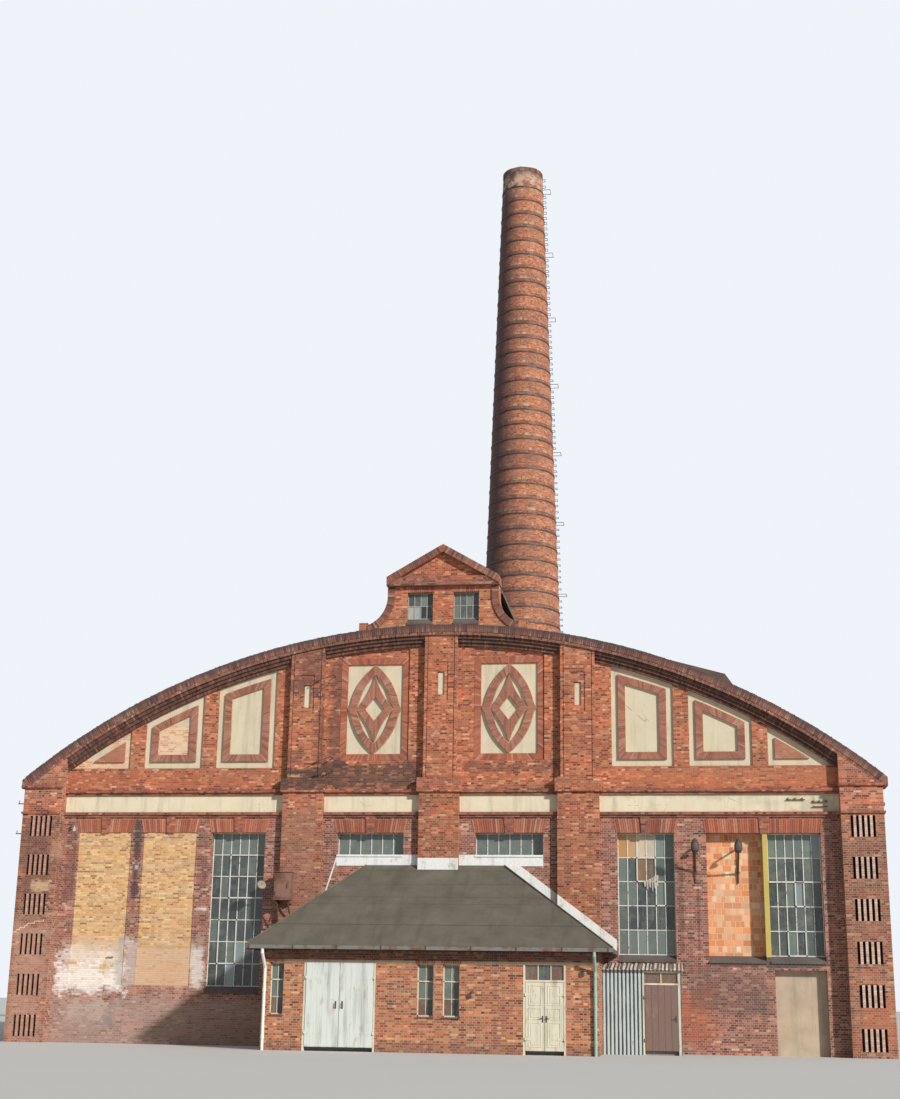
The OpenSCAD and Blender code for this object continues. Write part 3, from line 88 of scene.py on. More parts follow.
def calc(operation, a, b=0.0, clamp=False):
    """A sum on two values, of which one at least is a socket."""
    tree = (a if isinstance(a, bpy.types.NodeSocket) else b).id_data
    return add_node(tree, "Math", {0: a, 1: b}, operation=operation,
                    use_clamp=clamp).outputs[0]


def plus(a, b):
    return calc("ADD", a, b)


def minus(a, b):
    return calc("SUBTRACT", a, b)


def times(a, b):
    return calc("MULTIPLY", a, b)


def between(value, low, high, start=0.0, end=1.0):
    """Value taken from the range low to high into the range start to end."""
    return add_node(value.id_data, "MapRange", {
        "Value": value, "From Min": low, "From Max": high, "To Min": start, "To Max": end},
        clamp=True).outputs[0]


def blend(factor, a, b, how="MIX"):
    """Colour a turned into colour b by factor."""
    return add_node(factor.id_data, "Mix", {0: factor, 6: a, 7: b}, data_type="RGBA",
                    blend_type=how).outputs[2]


def covered(colour, *coats):
    """The colour under coats, each a tint, its mask and, if need be, an amount."""
    for tint, mask, *amount in coats:
        colour = blend(times(mask, *amount) if amount else mask, colour, tint)
    return colour


def shaded(colour, share):
    return tuple(part * share for part in colour)


def scaled(colour, share):
    """A colour socket made brighter or darker by a number socket."""
    return add_node(colour.id_data, "VectorMath", {0: colour, "Scale": share},
                    operation="SCALE").outputs[0]


def ramp(value, tints, places=None):
    """Tints along a value, evenly spaced where no places are given."""
    made = add_node(value.id_data, "ValToRGB", {0: value})
    elements = made.color_ramp.elements
    while len(elements) < len(tints):
        elements.new(0.5)
    places = places or [i / (len(tints) - 1) for i in range(len(tints))]
    for element, place, tint in zip(elements, places, tints):
        element.position = place
        element.color = (*tint, 1)
    return made.outputs[0]


def clouds(vector, scale, detail=3.0, rough=0.55):
    return add_node(vector.id_data, "TexNoise", {
        "Vector": vector, "Scale": scale, "Detail": detail, "Roughness": rough}).outputs[0]


def stretched(vector, *scale):
    """The vector scaled by three numbers."""
    return add_node(vector.id_data, "Mapping", {"Vector": vector, "Scale": scale}).outputs[0]


def place_in(tree):
    """The point on the object, in metres."""
    return add_node(tree, "TexCoord").outputs["Object"]


def axes(vector):
    return add_node(vector.id_data, "SeparateXYZ", {0: vector}).outputs


def new_group(name, outputs, **inputs):
    """A shader group's tree and the values given to it; all are numbers, save a Plane."""
    tree = bpy.data.node_groups.new(name, "ShaderNodeTree")
    for label in (*inputs, *outputs):
        made = tree.interface.new_socket(
            label, in_out="INPUT" if label in inputs else "OUTPUT",
            socket_type="NodeSocketVector" if label == "Plane" else "NodeSocketFloat")
        if inputs.get(label) is not None:
            made.default_value = inputs[label]
    return tree, tree.nodes.new("NodeGroupInput").outputs


def close_group(tree, *results):
    """Joins the results to the group's outputs, in their order."""
    for socket, value in zip(tree.nodes.new("NodeGroupOutput").inputs, results):
        tree.links.new(value, socket)
    return tree


def use_group(tree, group, values=None):
    """The outputs of a shared effect, placed with values of its own."""
    return add_node(tree, "Group", values, node_tree=group).outputs


# Shared effects

def make_wall_plane():
    """Length along a wall and height, chosen by the way the face looks."""
    tree, _ = new_group("wall_plane", ["Plane"])
    place = add_node(tree, "TexCoord").outputs
    point, face = axes(place["Object"]), axes(place["Normal"])
    side = calc("GREATER_THAN", calc("ABSOLUTE", face[0]), 0.6)
    level = calc("GREATER_THAN", calc("ABSOLUTE", face[2]), 0.75)
    along = add_node(tree, "Mix", {0: side, 2: point[0], 3: point[1]}).outputs[0]
    up = add_node(tree, "Mix", {0: level, 2: point[2], 3: point[1]}).outputs[0]
    return close_group(tree, add_node(tree, "CombineXYZ", {0: along, 1: up}).outputs[0])


def make_arc_plane():
    """Courses that run round the centre of the gable's curve."""
    tree, _ = new_group("arc_plane", ["Plane"])
    x, _, z = axes(place_in(tree))
    up = minus(z, ARC_Z)
    along = times(calc("ARCTAN2", x, up), COPING_R)
    reach = calc("SQRT", plus(calc("POWER", x, 2.0), calc("POWER", up, 2.0)))
    return close_group(tree, add_node(tree, "CombineXYZ", {0: reach, 1: along}).outputs[0])


def make_shaft_plane():
    """Length round the chimney and height."""
    tree, _ = new_group("shaft_plane", ["Plane"])
    x, y, z = axes(place_in(tree))
    round_it = times(calc("ARCTAN2", x, minus(y, CHIMNEY_Y)), 1.2)
    return close_group(tree, add_node(tree, "CombineXYZ", {0: round_it, 1: z}).outputs[0])


def make_brick_bond():
    """Brick courses: a tone and a shade for each brick, the joints and the relief."""
    tree, given = new_group("brick_bond", ["Tone", "Joints", "Relief", "Shade"], Plane=None,
                            Length=STRETCHER, Course=COURSE, Joint=JOINT)
    colour, joints = add_node(tree, "TexBrick", {
        "Vector": given["Plane"], "Color1": (0, 0, 0), "Color2": (1, 1, 1),
        "Mortar": (0.5, 0.5, 0.5), "Scale": 1.0, "Mortar Size": given["Joint"],
        "Mortar Smooth": 0.25, "Brick Width": given["Length"],
        "Row Height": given["Course"]}, squash=0.5, squash_frequency=2).outputs
    tone = add_node(tree, "SeparateColor", {0: colour}).outputs[0]
    relief = minus(times(clouds(given["Plane"], 90.0, 2.0), 0.35), joints)
    own = calc("FRACT", times(tone, 9.7))
    burnt = calc("GREATER_THAN", calc("FRACT", times(tone, 23.3)), 0.9)
    shade = times(between(own, 0.0, 1.0, 0.7, 1.36), minus(1.0, times(burnt, 0.5)))
    return close_group(tree, tone, joints, relief, shade)


def make_weather():
    """Soot in soft patches, streaks that run down, pale bloom and fine specks."""
    tree, _ = new_group("weather", ["Soot", "Streaks", "Bloom", "Specks"])
    place = place_in(tree)
    streaks = clouds(stretched(place, 7.0, 7.0, 0.8), 1.0, 4.0, 0.6)
    bloom = clouds(stretched(place, 1.0, 1.0, 1.6), 1.7, 6.0, 0.68)
    return close_group(tree, between(clouds(place, 0.9, 5.0, 0.62), 0.44, 0.7),
                       between(streaks, 0.5, 0.75), between(bloom, 0.56, 0.74),
                       between(clouds(place, 22.0, 2.0, 0.6), 0.66, 0.74))


def make_patch():
    """Rectangle on the wall as a mask; ragged edges, and some bricks hold less."""
    tree, given = new_group("patch", ["Mask"], Left=0.0, Right=1.0, Bottom=0.0, Top=1.0,
                            Softness=0.1, Tone=0.5)
    place = place_in(tree)
    x, _, z = axes(place)
    ragged = minus(times(minus(clouds(place, 3.2, 6.0, 0.72), 0.52), 5.0),
                   times(given["Tone"], 0.9))
    near = minus(x, given["Left"])
    for distance in (minus(given["Right"], x), minus(z, given["Bottom"]),
                     minus(given["Top"], z)):
        near = calc("MINIMUM", near, distance)
    soft = given["Softness"]
    near = calc("DIVIDE", plus(near, times(ragged, soft)), soft)
    hold = calc("FRACT", times(given["Tone"], 5.3))
    return close_group(tree, times(calc("ADD", near, 0.5, clamp=True),
                                   between(hold, 0.0, 0.5, 0.62, 1.0)))


def make_grain():
    """Wood grain that runs upright, with worn paint."""
    tree, _ = new_group("grain", ["Grain", "Worn"])
    place = place_in(tree)
    worn = clouds(stretched(place, 9.0, 9.0, 3.0), 1.0, 6.0, 0.7)
    return close_group(tree, clouds(stretched(place, 60.0, 60.0, 3.0), 1.0, 4.0, 0.6),
                       between(worn, 0.55, 0.66))


WALL_PLANE = make_wall_plane()
ARC_PLANE = make_arc_plane()
SHAFT_PLANE = make_shaft_plane()
BRICK_BOND = make_brick_bond()
WEATHER = make_weather()
PATCH = make_patch()
GRAIN = make_grain()


# Finishes

def start_finish(name):
    material = bpy.data.materials.new(name)
    material.use_nodes = True
    return material, material.node_tree


def close_finish(material, colour, rough, height=None, strength=0.5, depth=0.004):
    """Joins colour, roughness and relief to the shader."""
    tree = material.node_tree
    shader = tree.nodes["Principled BSDF"].inputs
    feed(shader["Base Color"], colour)
    feed(shader["Roughness"], rough)
    if height is not None:
        feed(shader["Normal"], add_node(tree, "Bump", {
            "Height": height, "Strength": strength, "Distance": depth}).outputs[0])
    return material


def patch_mask(tree, left, right, bottom, top, soft, tone=0.5):
    return use_group(tree, PATCH, {"Left": left, "Right": right, "Bottom": bottom,
                                   "Top": top, "Softness": soft, "Tone": tone})[0]


def brickwork(name, plane, tones, joint_colour, soot=0.5, bloom=0.3, washes_and_shade=(), sizes=None,
              soot_colour=(0.05, 0.03, 0.028), bloom_colour=(0.66, 0.46, 0.33), foot=None,
              sunk=None, contrast=1.0):
    """Brick finish with its bond, weathering, painted or sooty washes, and painted shade under
    ledges, under eaves and in recesses.

    sizes are the bond's own measures; foot is a level and a tint for the brick below it;
    sunk is a depth, a distance from the middle, a reach and a top: brick further in there
    is dark as painted shade; contrast is how far single bricks differ."""
    material, tree = start_finish(name)
    bond = use_group(tree, BRICK_BOND, {"Plane": use_group(tree, plane)[0], **(sizes or {})})
    weather = use_group(tree, WEATHER)
    tone = bond["Tone"]
    x, y, z = axes(place_in(tree))
    colour = scaled(ramp(tone, tones), plus(1.0, times(contrast, minus(bond["Shade"], 1.0))))
    if foot:
        level, tint = foot
        below = between(plus(z, times(weather["Soot"], 0.5)), level + 0.3, level - 0.1)
        colour = blend(below, colour, tint, "MULTIPLY")
    pale = times(weather["Bloom"], between(tone, 0.2, 0.9))
    colour = covered(
        colour, (soot_colour, weather["Soot"], soot),
        (soot_colour, weather["Streaks"], soot * 0.55), (bloom_colour, pale, bloom),
        (bloom_colour, weather["Specks"], bloom))
    # Washes of lime, paint and soot, and painted shade under a ledge and under the eaves
    for *edges, wash_and_shade_tint, amount in washes_and_shade:
        mask = patch_mask(tree, *edges, tone)
        colour = covered(colour, (wash_and_shade_tint, mask, amount))
        joint_colour = covered(joint_colour, (wash_and_shade_tint, mask, amount * 0.7))
    colour = covered(colour, (joint_colour, bond["Joints"], 0.8))
    # Painted shade on brick that lies deep inside a recess
    if sunk:
        depth, middle, reach, top = sunk
        aside = calc("ABSOLUTE", minus(calc("ABSOLUTE", x), middle))
        inner = times(between(y, depth, depth + 0.03), calc("LESS_THAN", aside, reach))
        inner = times(inner, calc("LESS_THAN", z, top))
        colour = covered(colour, ((0.035, 0.02, 0.018), inner, 0.85))
    return close_finish(material, colour, between(tone, 0.0, 1.0, 0.78, 0.92),
                        bond["Relief"], 0.7, 0.006)


def dressed_brick(name, tones, soot=0.3, bloom=0.3, crown=False):
    """Finish of single bricks, each with the tone kept on its own mesh.

    crown darkens the upper edge of the curved coping's bricks."""
    material, tree = start_finish(name)
    weather = use_group(tree, WEATHER)
    own = add_node(tree, "Attribute", attribute_name="tone").outputs["Fac"]
    fine = clouds(place_in(tree), 70.0, 3.0, 0.65)
    colour = covered(
        ramp(own, tones), (shaded(tones[0], 0.45), between(fine, 0.4, 0.75, 0.0, 0.35)),
        ((0.06, 0.035, 0.03), weather["Soot"], soot),
        ((0.6, 0.42, 0.32), weather["Bloom"], bloom))
    if crown:
        reach = axes(use_group(tree, ARC_PLANE)[0])[0]
        top = times(between(reach, COPING_R - 0.1, COPING_R - 0.03, 0.0, 0.72),
                    calc("LESS_THAN", reach, COPING_R + 0.04))
        colour = covered(colour, ((0.07, 0.055, 0.058), top))
    return close_finish(material, colour, 0.87, fine, 0.5, 0.003)


def make_chimney_brick():
    """Shaft brick: orange red, sooty in bands and under the hoops, dark at the rim, with
    painted shade down its left side.
    """
    material, tree = start_finish("chimney_brick")
    bond = use_group(tree, BRICK_BOND, {"Plane": use_group(tree, SHAFT_PLANE)[0]})
    weather = use_group(tree, WEATHER)
    place = place_in(tree)
    x, _, z = axes(place)
    colour = ramp(bond["Tone"], [(0.3, 0.085, 0.045), (0.47, 0.165, 0.075),
                                 (0.55, 0.225, 0.102), (0.39, 0.125, 0.06)],
                  (0.0, 0.4, 0.7, 1.0))
    bands = clouds(stretched(place, 0.7, 0.7, 2.4), 1.0, 6.0, 0.7)
    pale = clouds(stretched(place, 2.6, 2.6, 3.4), 1.3, 6.0, 0.72)
    # Way from each iron hoop up to the next; soot hangs under one, lime lies on the other
    rise = calc("FRACT", calc("DIVIDE", minus(z, HOOP_Z), HOOP_PITCH))
    drips = clouds(stretched(place, 5.0, 5.0, 1.6), 1.0, 5.0, 0.7)
    hang = times(between(rise, 0.6, 1.0), between(drips, 0.38, 0.62, 0.15, 0.85))
    flecks = clouds(stretched(place, 4.0, 4.0, 1.0), 1.0, 6.0, 0.75)
    fleck = times(between(rise, 0.22, 0.1), between(flecks, 0.52, 0.62, 0.0, 0.6))
    aside = calc("DIVIDE", x, minus(SHAFT_R, times(z, CHIMNEY_SLOPE)))
    worn = clouds(stretched(place, 3.0, 3.0, 4.5), 1.2, 6.0, 0.75)
    top = times(between(z, 24.1, 24.45), between(worn, 0.46, 0.56, 0.0, 0.85))
    rim = times(between(z, 24.6, 24.86), between(weather["Streaks"], 0.0, 1.0, 0.6, 0.95))
    colour = covered(
        scaled(colour, bond["Shade"]),
        ((0.12, 0.055, 0.045), between(bands, 0.42, 0.68, 0.0, 0.55)),
        ((0.6, 0.34, 0.2), between(pale, 0.56, 0.7, 0.0, 0.5)),
        ((0.36, 0.21, 0.15), bond["Joints"], 0.8), ((0.08, 0.04, 0.036), hang),
        ((0.62, 0.5, 0.4), fleck),
        # Painted shade down the left side of the shaft
        ((0.07, 0.04, 0.042), between(aside, 0.0, -0.72, 0.0, 0.88)),
        ((0.62, 0.46, 0.33), top), ((0.06, 0.05, 0.048), rim))
    return close_finish(material, colour, 0.86, bond["Relief"], 0.6, 0.005)


def render_coat(name, colour_a, colour_b, dirt, bare=(), upper=None, stains=()):
    """Lime render with stains, hairline cracks and places where brick shows.

    upper is a level and a tint for the render above it."""
    material, tree = start_finish(name)
    weather = use_group(tree, WEATHER)
    place = place_in(tree)
    colour = blend(between(clouds(place, 3.0, 6.0, 0.6), 0.3, 0.7), colour_a, colour_b)
    if upper:
        level, tint = upper
        colour = blend(between(axes(place)[2], level, level + 0.1), colour, tint, "MULTIPLY")
    for *edges, stain, amount in stains:
        colour = covered(colour, (stain, patch_mask(tree, *edges), amount))
    crack = add_node(tree, "TexVoronoi", {"Vector": stretched(place, 0.9, 0.9, 0.55),
                                          "Scale": 1.6}, feature="DISTANCE_TO_EDGE").outputs[0]
    line = times(between(crack, 0.0, 0.006, 1.0, 0.0),
                 between(clouds(place, 2.5, 5.0, 0.7), 0.54, 0.6))
    grime = (0.2, 0.17, 0.13)
    colour = covered(colour, (grime, weather["Streaks"], dirt),
                     (grime, weather["Specks"], dirt * 0.8), (grime, line, 0.7))
    if bare:
        bond = use_group(tree, BRICK_BOND, {"Plane": use_group(tree, WALL_PLANE)[0]})
        brick = ramp(bond["Tone"], [(0.56, 0.24, 0.12), (0.72, 0.42, 0.24),
                                    (0.76, 0.56, 0.36)])
        brick = covered(brick, ((0.7, 0.55, 0.4), bond["Joints"]))
        for *edges, amount in bare:
            colour = covered(colour, (brick, patch_mask(tree, *edges, bond["Tone"]), amount))
    return close_finish(material, colour, 0.9, clouds(place, 60.0, 3.0), 0.25, 0.003)


def roofing_felt(name, base, light, lap, arc=False):
    """Tarred felt in laps, with dust and runs of water."""
    material, tree = start_finish(name)
    place = place_in(tree)
    along = axes(use_group(tree, ARC_PLANE)[0])[1] if arc else axes(place)[2]
    mottle = clouds(place, 2.2, 6.0, 0.65)
    fine = clouds(place, 40.0, 3.0, 0.6)
    runs = clouds(stretched(place, 5.0, 0.8, 0.8), 1.0, 5.0, 0.6)
    step = calc("FRACT", calc("DIVIDE", along, lap))
    colour = covered(
        blend(between(mottle, 0.35, 0.68), base, light),
        (shaded(base, 0.55), between(runs, 0.5, 0.75, 0.0, 0.5)),
        (light, between(fine, 0.6, 0.75, 0.0, 0.5)),
        (shaded(base, 0.4), between(step, 0.0, 0.035, 1.0, 0.0), 0.5))
    return close_finish(material, colour, 0.93, plus(times(fine, 0.3), step), 0.35, 0.006)


def window_glass(name, face_axis, sheets, bar_colour):
    """Steel windows: dark glass at the given depths in the wall, painted bars before it."""
    material, tree = start_finish(name)
    place = place_in(tree)
    point = axes(place)
    depth = calc("ABSOLUTE", point[face_axis])
    near = [add_node(tree, "Math", {0: depth, 1: sheet, 2: 0.0045},
                     operation="COMPARE").outputs[0] for sheet in sheets]
    glass = calc("MAXIMUM", near[0], near[-1])
    dust, rust = clouds(place, 5.0, 5.0, 0.6), clouds(place, 14.0, 4.0, 0.7)
    pane = blend(between(dust, 0.45, 0.75), (0.035, 0.04, 0.04), (0.12, 0.12, 0.1))
    bars = blend(between(rust, 0.56, 0.68), bar_colour, (0.28, 0.16, 0.1))
    # The bars of the gablet's windows are darker than those of the hall
    bars = blend(calc("GREATER_THAN", point[2], 7.5), bars, (0.5, 0.5, 0.48), "MULTIPLY")
    return close_finish(material, blend(glass, bars, pane), minus(0.7, times(glass, 0.4)),
                        times(dust, glass), 0.08, 0.004)


def old_panes():
    """Old window panes; the tone on each pane goes from dark glass through pale ones, some of
    them a painted reflection, to ones coated with paint.
    """
    material, tree = start_finish("old_panes")
    place = place_in(tree)
    own = add_node(tree, "Attribute", attribute_name="tone").outputs["Fac"]
    colour = ramp(own, [(0.018, 0.022, 0.024), (0.04, 0.05, 0.052), (0.075, 0.09, 0.085),
                        (0.15, 0.19, 0.165), (0.3, 0.38, 0.4), (0.62, 0.5, 0.36),
                        (0.5, 0.25, 0.07), (0.16, 0.09, 0.062)],
                  (0.0, 0.3, 0.5, 0.62, 0.72, 0.8, 0.9, 1.0))
    dust = clouds(place, 6.0, 6.0, 0.65)
    runs = clouds(stretched(place, 22.0, 22.0, 2.5), 1.0, 4.0, 0.6)
    colour = covered(colour, ((0.24, 0.26, 0.22), between(dust, 0.46, 0.74, 0.0, 0.45)),
                     ((0.3, 0.3, 0.26), between(runs, 0.56, 0.76, 0.0, 0.4)))
    return close_finish(material, colour, between(dust, 0.3, 0.75, 0.12, 0.42), dust, 0.05)


def pipe_paint():
    """Downpipes: the left one white, the right one green, both with rust at the joints."""
    material, tree = start_finish("pipe_paint")
    place = place_in(tree)
    right = calc("GREATER_THAN", axes(place)[0], 0.0)
    rust = clouds(place, 7.0, 6.0, 0.7)
    colour = covered(blend(right, (0.76, 0.76, 0.7), (0.3, 0.44, 0.37)),
                     ((0.26, 0.13, 0.07), between(rust, 0.6, 0.7, 0.0, 0.8)))
    return close_finish(material, colour, between(rust, 0.4, 0.7, 0.4, 0.75), rust, 0.15,
                        0.002)


def striped_sheet(name, crest, valley, rust_amount):
    """Corrugated sheet: pale crests, dark valleys that are partly grime and partly painted
    shade, and rust blooming through.
    """
    material, tree = start_finish(name)
    place = place_in(tree)
    half = SHEET_PITCH / 2
    share = calc("DIVIDE", calc("PINGPONG", minus(axes(place)[0], SHEET_X), half), half)
    fine = clouds(place, 45.0, 3.0, 0.6)
    patches = clouds(stretched(place, 3.0, 3.0, 1.2), 1.6, 7.0, 0.72)
    uneven = plus(share, times(minus(patches, 0.5), 0.9))
    rusty = between(patches, 0.66 - 0.2 * rust_amount, 0.76 - 0.2 * rust_amount)
    # Crests pale, valleys dark: grime together with painted shade of the corrugations
    colour = covered(blend(between(uneven, 0.34, 0.56), valley, crest),
                     (blend(fine, (0.3, 0.13, 0.06), (0.12, 0.05, 0.03)), rusty, 0.85))
    return close_finish(material, colour, between(rusty, 0.0, 1.0, 0.5, 0.9), fine, 0.25,
                        0.002)


def timber(name, paint, bare, worn=0.5, grime=0.3):
    """Painted boards whose paint has gone in places."""
    material, tree = start_finish(name)
    grain = use_group(tree, GRAIN)
    colour = covered(paint, (blend(grain["Grain"], bare, shaded(bare, 1.7)),
                             grain["Worn"], worn),
                     ((0.12, 0.09, 0.07), use_group(tree, WEATHER)["Streaks"], grime))
    return close_finish(material, colour, 0.72, grain["Grain"], 0.3, 0.002)


def sheet_metal(name, paint, rust_amount, rust=(0.24, 0.1, 0.045), rough=0.55):
    """Painted or zinc-coated metal with rust blooming through."""
    material, tree = start_finish(name)
    place = place_in(tree)
    patches = clouds(place, 4.0, 7.0, 0.7)
    fine = clouds(place, 50.0, 3.0, 0.6)
    low = 0.62 - 0.25 * rust_amount
    rusty = between(patches, low, low + 0.14)
    colour = covered(blend(between(fine, 0.35, 0.65), shaded(paint, 0.85), paint),
                     (blend(fine, rust, shaded(rust, 0.45)), rusty),
                     ((0.1, 0.08, 0.07), use_group(tree, WEATHER)["Streaks"], 0.35))
    return close_finish(material, colour, between(rusty, 0.0, 1.0, rough, 0.9),
                        plus(times(fine, 0.3), rusty), 0.25, 0.002)


def cast_floor(name, tone):
    """Worn concrete with pits and stains."""
    material, tree = start_finish(name)
    place = place_in(tree)
    fine = clouds(place, 35.0, 4.0, 0.6)
    colour = covered(
        blend(between(clouds(place, 1.4, 7.0, 0.65), 0.35, 0.65), tone, shaded(tone, 0.55)),
        (shaded(tone, 0.4), between(fine, 0.6, 0.72, 0.0, 0.6)))
    return close_finish(material, colour, 0.88, fine, 0.35, 0.003)


RED_TONES = [(0.19, 0.045, 0.026), (0.43, 0.115, 0.052), (0.53, 0.155, 0.066),
             (0.46, 0.125, 0.056), (0.62, 0.23, 0.105), (0.36, 0.085, 0.042),
             (0.57, 0.18, 0.08), (0.72, 0.38, 0.22)]
LOWER_TONES = [(0.12, 0.045, 0.036), (0.3, 0.105, 0.072), (0.4, 0.145, 0.095),
               (0.27, 0.09, 0.064), (0.5, 0.22, 0.14), (0.2, 0.07, 0.052),
               (0.36, 0.125, 0.082), (0.62, 0.38, 0.27)]
BAND_TONES = [(0.15, 0.05, 0.036), (0.34, 0.1, 0.056), (0.44, 0.14, 0.075),
              (0.26, 0.08, 0.05), (0.5, 0.2, 0.115)]
COPING_TONES = [(0.085, 0.04, 0.036), (0.25, 0.092, 0.062), (0.34, 0.138, 0.09),
                (0.175, 0.068, 0.052), (0.44, 0.245, 0.17)]
# Corbel bricks kept very dark as painted shade under the coping
CORBEL_SHADE_TONES = [(0.05, 0.022, 0.018), (0.14, 0.052, 0.034), (0.19, 0.075, 0.045),
                (0.09, 0.034, 0.026), (0.26, 0.12, 0.08)]
YELLOW_TONES = [(0.42, 0.19, 0.075), (0.68, 0.39, 0.165), (0.74, 0.47, 0.21),
                (0.58, 0.3, 0.12), (0.76, 0.53, 0.27)]
BLOCK_TONES = [(0.62, 0.2, 0.07), (0.78, 0.36, 0.16), (0.72, 0.28, 0.11),
               (0.84, 0.52, 0.3), (0.66, 0.24, 0.09), (0.86, 0.66, 0.46)]
ARCH_TONES = [(0.28, 0.08, 0.05), (0.44, 0.13, 0.065), (0.54, 0.19, 0.1),
              (0.36, 0.11, 0.065), (0.6, 0.3, 0.2)]
RING_TONES = [(0.26, 0.09, 0.055), (0.4, 0.15, 0.09), (0.47, 0.2, 0.125),
              (0.33, 0.12, 0.08), (0.52, 0.27, 0.19)]
PALE_JOINT = (0.46, 0.34, 0.27)
WARM_JOINT = (0.42, 0.24, 0.15)
DARK_JOINT = (0.24, 0.15, 0.11)
LIME = (0.93, 0.88, 0.82)
PANEL_RED = (0.42, 0.125, 0.065)
BAR_WHITE = (0.7, 0.71, 0.64)

# Washes and painted shade: left, right, bottom, top and softness of the edges, colour, amount
LOWER_WASHES_AND_SHADE = [
    (-8.0, -2.8, -0.4, 0.86, 0.14, (0.42, 0.32, 0.27), 0.58),
    (-7.0, -4.15, 0.86, 1.84, 0.2, (0.62, 0.45, 0.36), 0.62),
    (-7.0, -5.6, 0.8, 1.4, 0.16, LIME, 0.85),
    (-7.0, -5.6, 1.3, 1.74, 0.14, LIME, 0.5),
    (-4.46, -4.15, 0.9, 1.72, 0.1, LIME, 0.5),
    (-6.75, -5.7, 0.3, 0.82, 0.16, (0.6, 0.5, 0.44), 0.4),
    (-6.0, -5.75, 0.3, 0.92, 0.12, (0.14, 0.12, 0.12), 0.55),
    (-5.66, -5.46, 2.5, 3.95, 0.05, (0.05, 0.028, 0.026), 0.85),
    (-5.6, -5.5, 3.0, 3.12, 0.03, LIME, 0.5),
    (-5.66, -5.4, 0.95, 1.75, 0.09, (0.55, 0.47, 0.42), 0.6),
    (-6.95, -6.68, 2.4, 3.95, 0.08, (0.13, 0.05, 0.04), 0.5),
    (-4.42, -4.17, 2.5, 3.95, 0.08, (0.16, 0.06, 0.045), 0.45),
    (-4.38, -4.18, 2.3, 2.37, 0.04, LIME, 0.95),
    (-6.83, -6.74, 3.7, 3.83, 0.025, LIME, 0.85),
    (-6.86, -6.7, 2.28, 2.4, 0.04, (0.7, 0.42, 0.32), 0.7),
    (2.9, 4.8, 0.1, 1.15, 0.14, (0.5, 0.13, 0.055), 0.55),
    (4.25, 5.75, 0.6, 1.5, 0.14, (0.12, 0.075, 0.065), 0.55),
    (4.66, 6.68, 1.42, 1.64, 0.03, (0.07, 0.06, 0.056), 0.9),
    (4.15, 4.3, 1.6, 3.2, 0.05, (0.1, 0.045, 0.04), 0.55),
    (4.5, 4.56, 1.7, 2.9, 0.02, (0.08, 0.045, 0.04), 0.5),
    # Dark band under the string course over the middle windows: painted shade
    (-1.9, 1.9, 3.9, 4.0, 0.05, (0.1, 0.05, 0.04), 0.5),
    (6.68, 6.74, 1.6, 3.0, 0.03, (0.06, 0.045, 0.04), 0.6)]
GABLE_WASHES = [
    (-2.15, -1.72, 4.8, 6.95, 0.12, (0.09, 0.042, 0.038), 0.66),
    (-2.2, -0.4, 4.45, 4.98, 0.1, (0.04, 0.034, 0.032), 0.8),
    (0.4, 2.2, 4.72, 4.98, 0.08, (0.08, 0.04, 0.035), 0.5),
    (-7.0, -3.0, 4.5, 4.84, 0.08, (0.44, 0.13, 0.06), 0.4),
    (3.0, 7.0, 4.5, 4.84, 0.08, (0.54, 0.17, 0.075), 0.5),
    (-1.3, 1.5, 7.35, 7.6, 0.08, (0.52, 0.3, 0.14), 0.35)]
PIER_WASHES = [
    (-7.8, -6.9, 2.3, 4.1, 0.22, (0.11, 0.045, 0.036), 0.6),
    (-7.8, -6.9, -0.2, 2.2, 0.25, (0.62, 0.38, 0.29), 0.38),
    (-7.45, -7.05, 2.585, 2.83, 0.05, (0.7, 0.46, 0.27), 0.75),
    (-7.15, -6.9, 3.2, 3.6, 0.1, (0.62, 0.34, 0.2), 0.5),
    (6.9, 7.8, 0.1, 1.0, 0.2, (0.52, 0.16, 0.07), 0.5),
    (6.9, 7.8, 1.2, 4.1, 0.3, (0.16, 0.07, 0.05), 0.25)]
PILASTER_WASHES = [
    (-2.95, -2.0, 6.1, 7.1, 0.25, (0.1, 0.048, 0.045), 0.66),
    (-2.32, -2.0, 4.9, 6.3, 0.12, (0.08, 0.038, 0.035), 0.7),
    (-2.95, -2.3, 4.84, 5.2, 0.12, (0.1, 0.045, 0.04), 0.5),
    (-2.95, -2.0, 4.42, 4.86, 0.05, (0.035, 0.028, 0.027), 0.88),
    (-2.8, -2.55, 4.66, 4.72, 0.02, (0.7, 0.42, 0.2), 0.8),
    (-2.95, -2.0, 2.0, 4.4, 0.3, (0.3, 0.17, 0.14), 0.35),
    (-0.5, 0.5, 4.5, 4.75, 0.06, (0.3, 0.12, 0.08), 0.4)]
YELLOW_WASHES = [
    (-7.0, -5.6, 0.7, 1.4, 0.14, LIME, 0.86),
    (-7.0, -5.6, 1.3, 1.74, 0.12, LIME, 0.6),
    (-7.0, -5.6, 1.5, 1.9, 0.1, (0.72, 0.52, 0.36), 0.5),
    (-5.5, -4.35, 0.8, 1.68, 0.04, (0.66, 0.44, 0.29), 0.85),
    (-5.5, -4.35, 1.63, 1.7, 0.02, (0.42, 0.3, 0.2), 0.5),
    (-5.05, -4.6, 0.9, 1.5, 0.16, (0.66, 0.36, 0.19), 0.5),
    (-5.87, -5.6, 0.9, 1.9, 0.1, (0.34, 0.32, 0.32), 0.6),
    (-6.03, -5.88, 1.44, 1.49, 0.025, (0.07, 0.05, 0.045), 0.95)]
ANNEX_WASHES_AND_EAVES_SHADE = [
    (-3.0, 3.2, -0.1, 0.2, 0.1, (0.16, 0.09, 0.07), 0.5),
    # Dark band under the eaves: painted shade of the roof overhang
    (-3.0, 3.2, 1.38, 1.75, 0.03, (0.07, 0.03, 0.025), 0.7)]
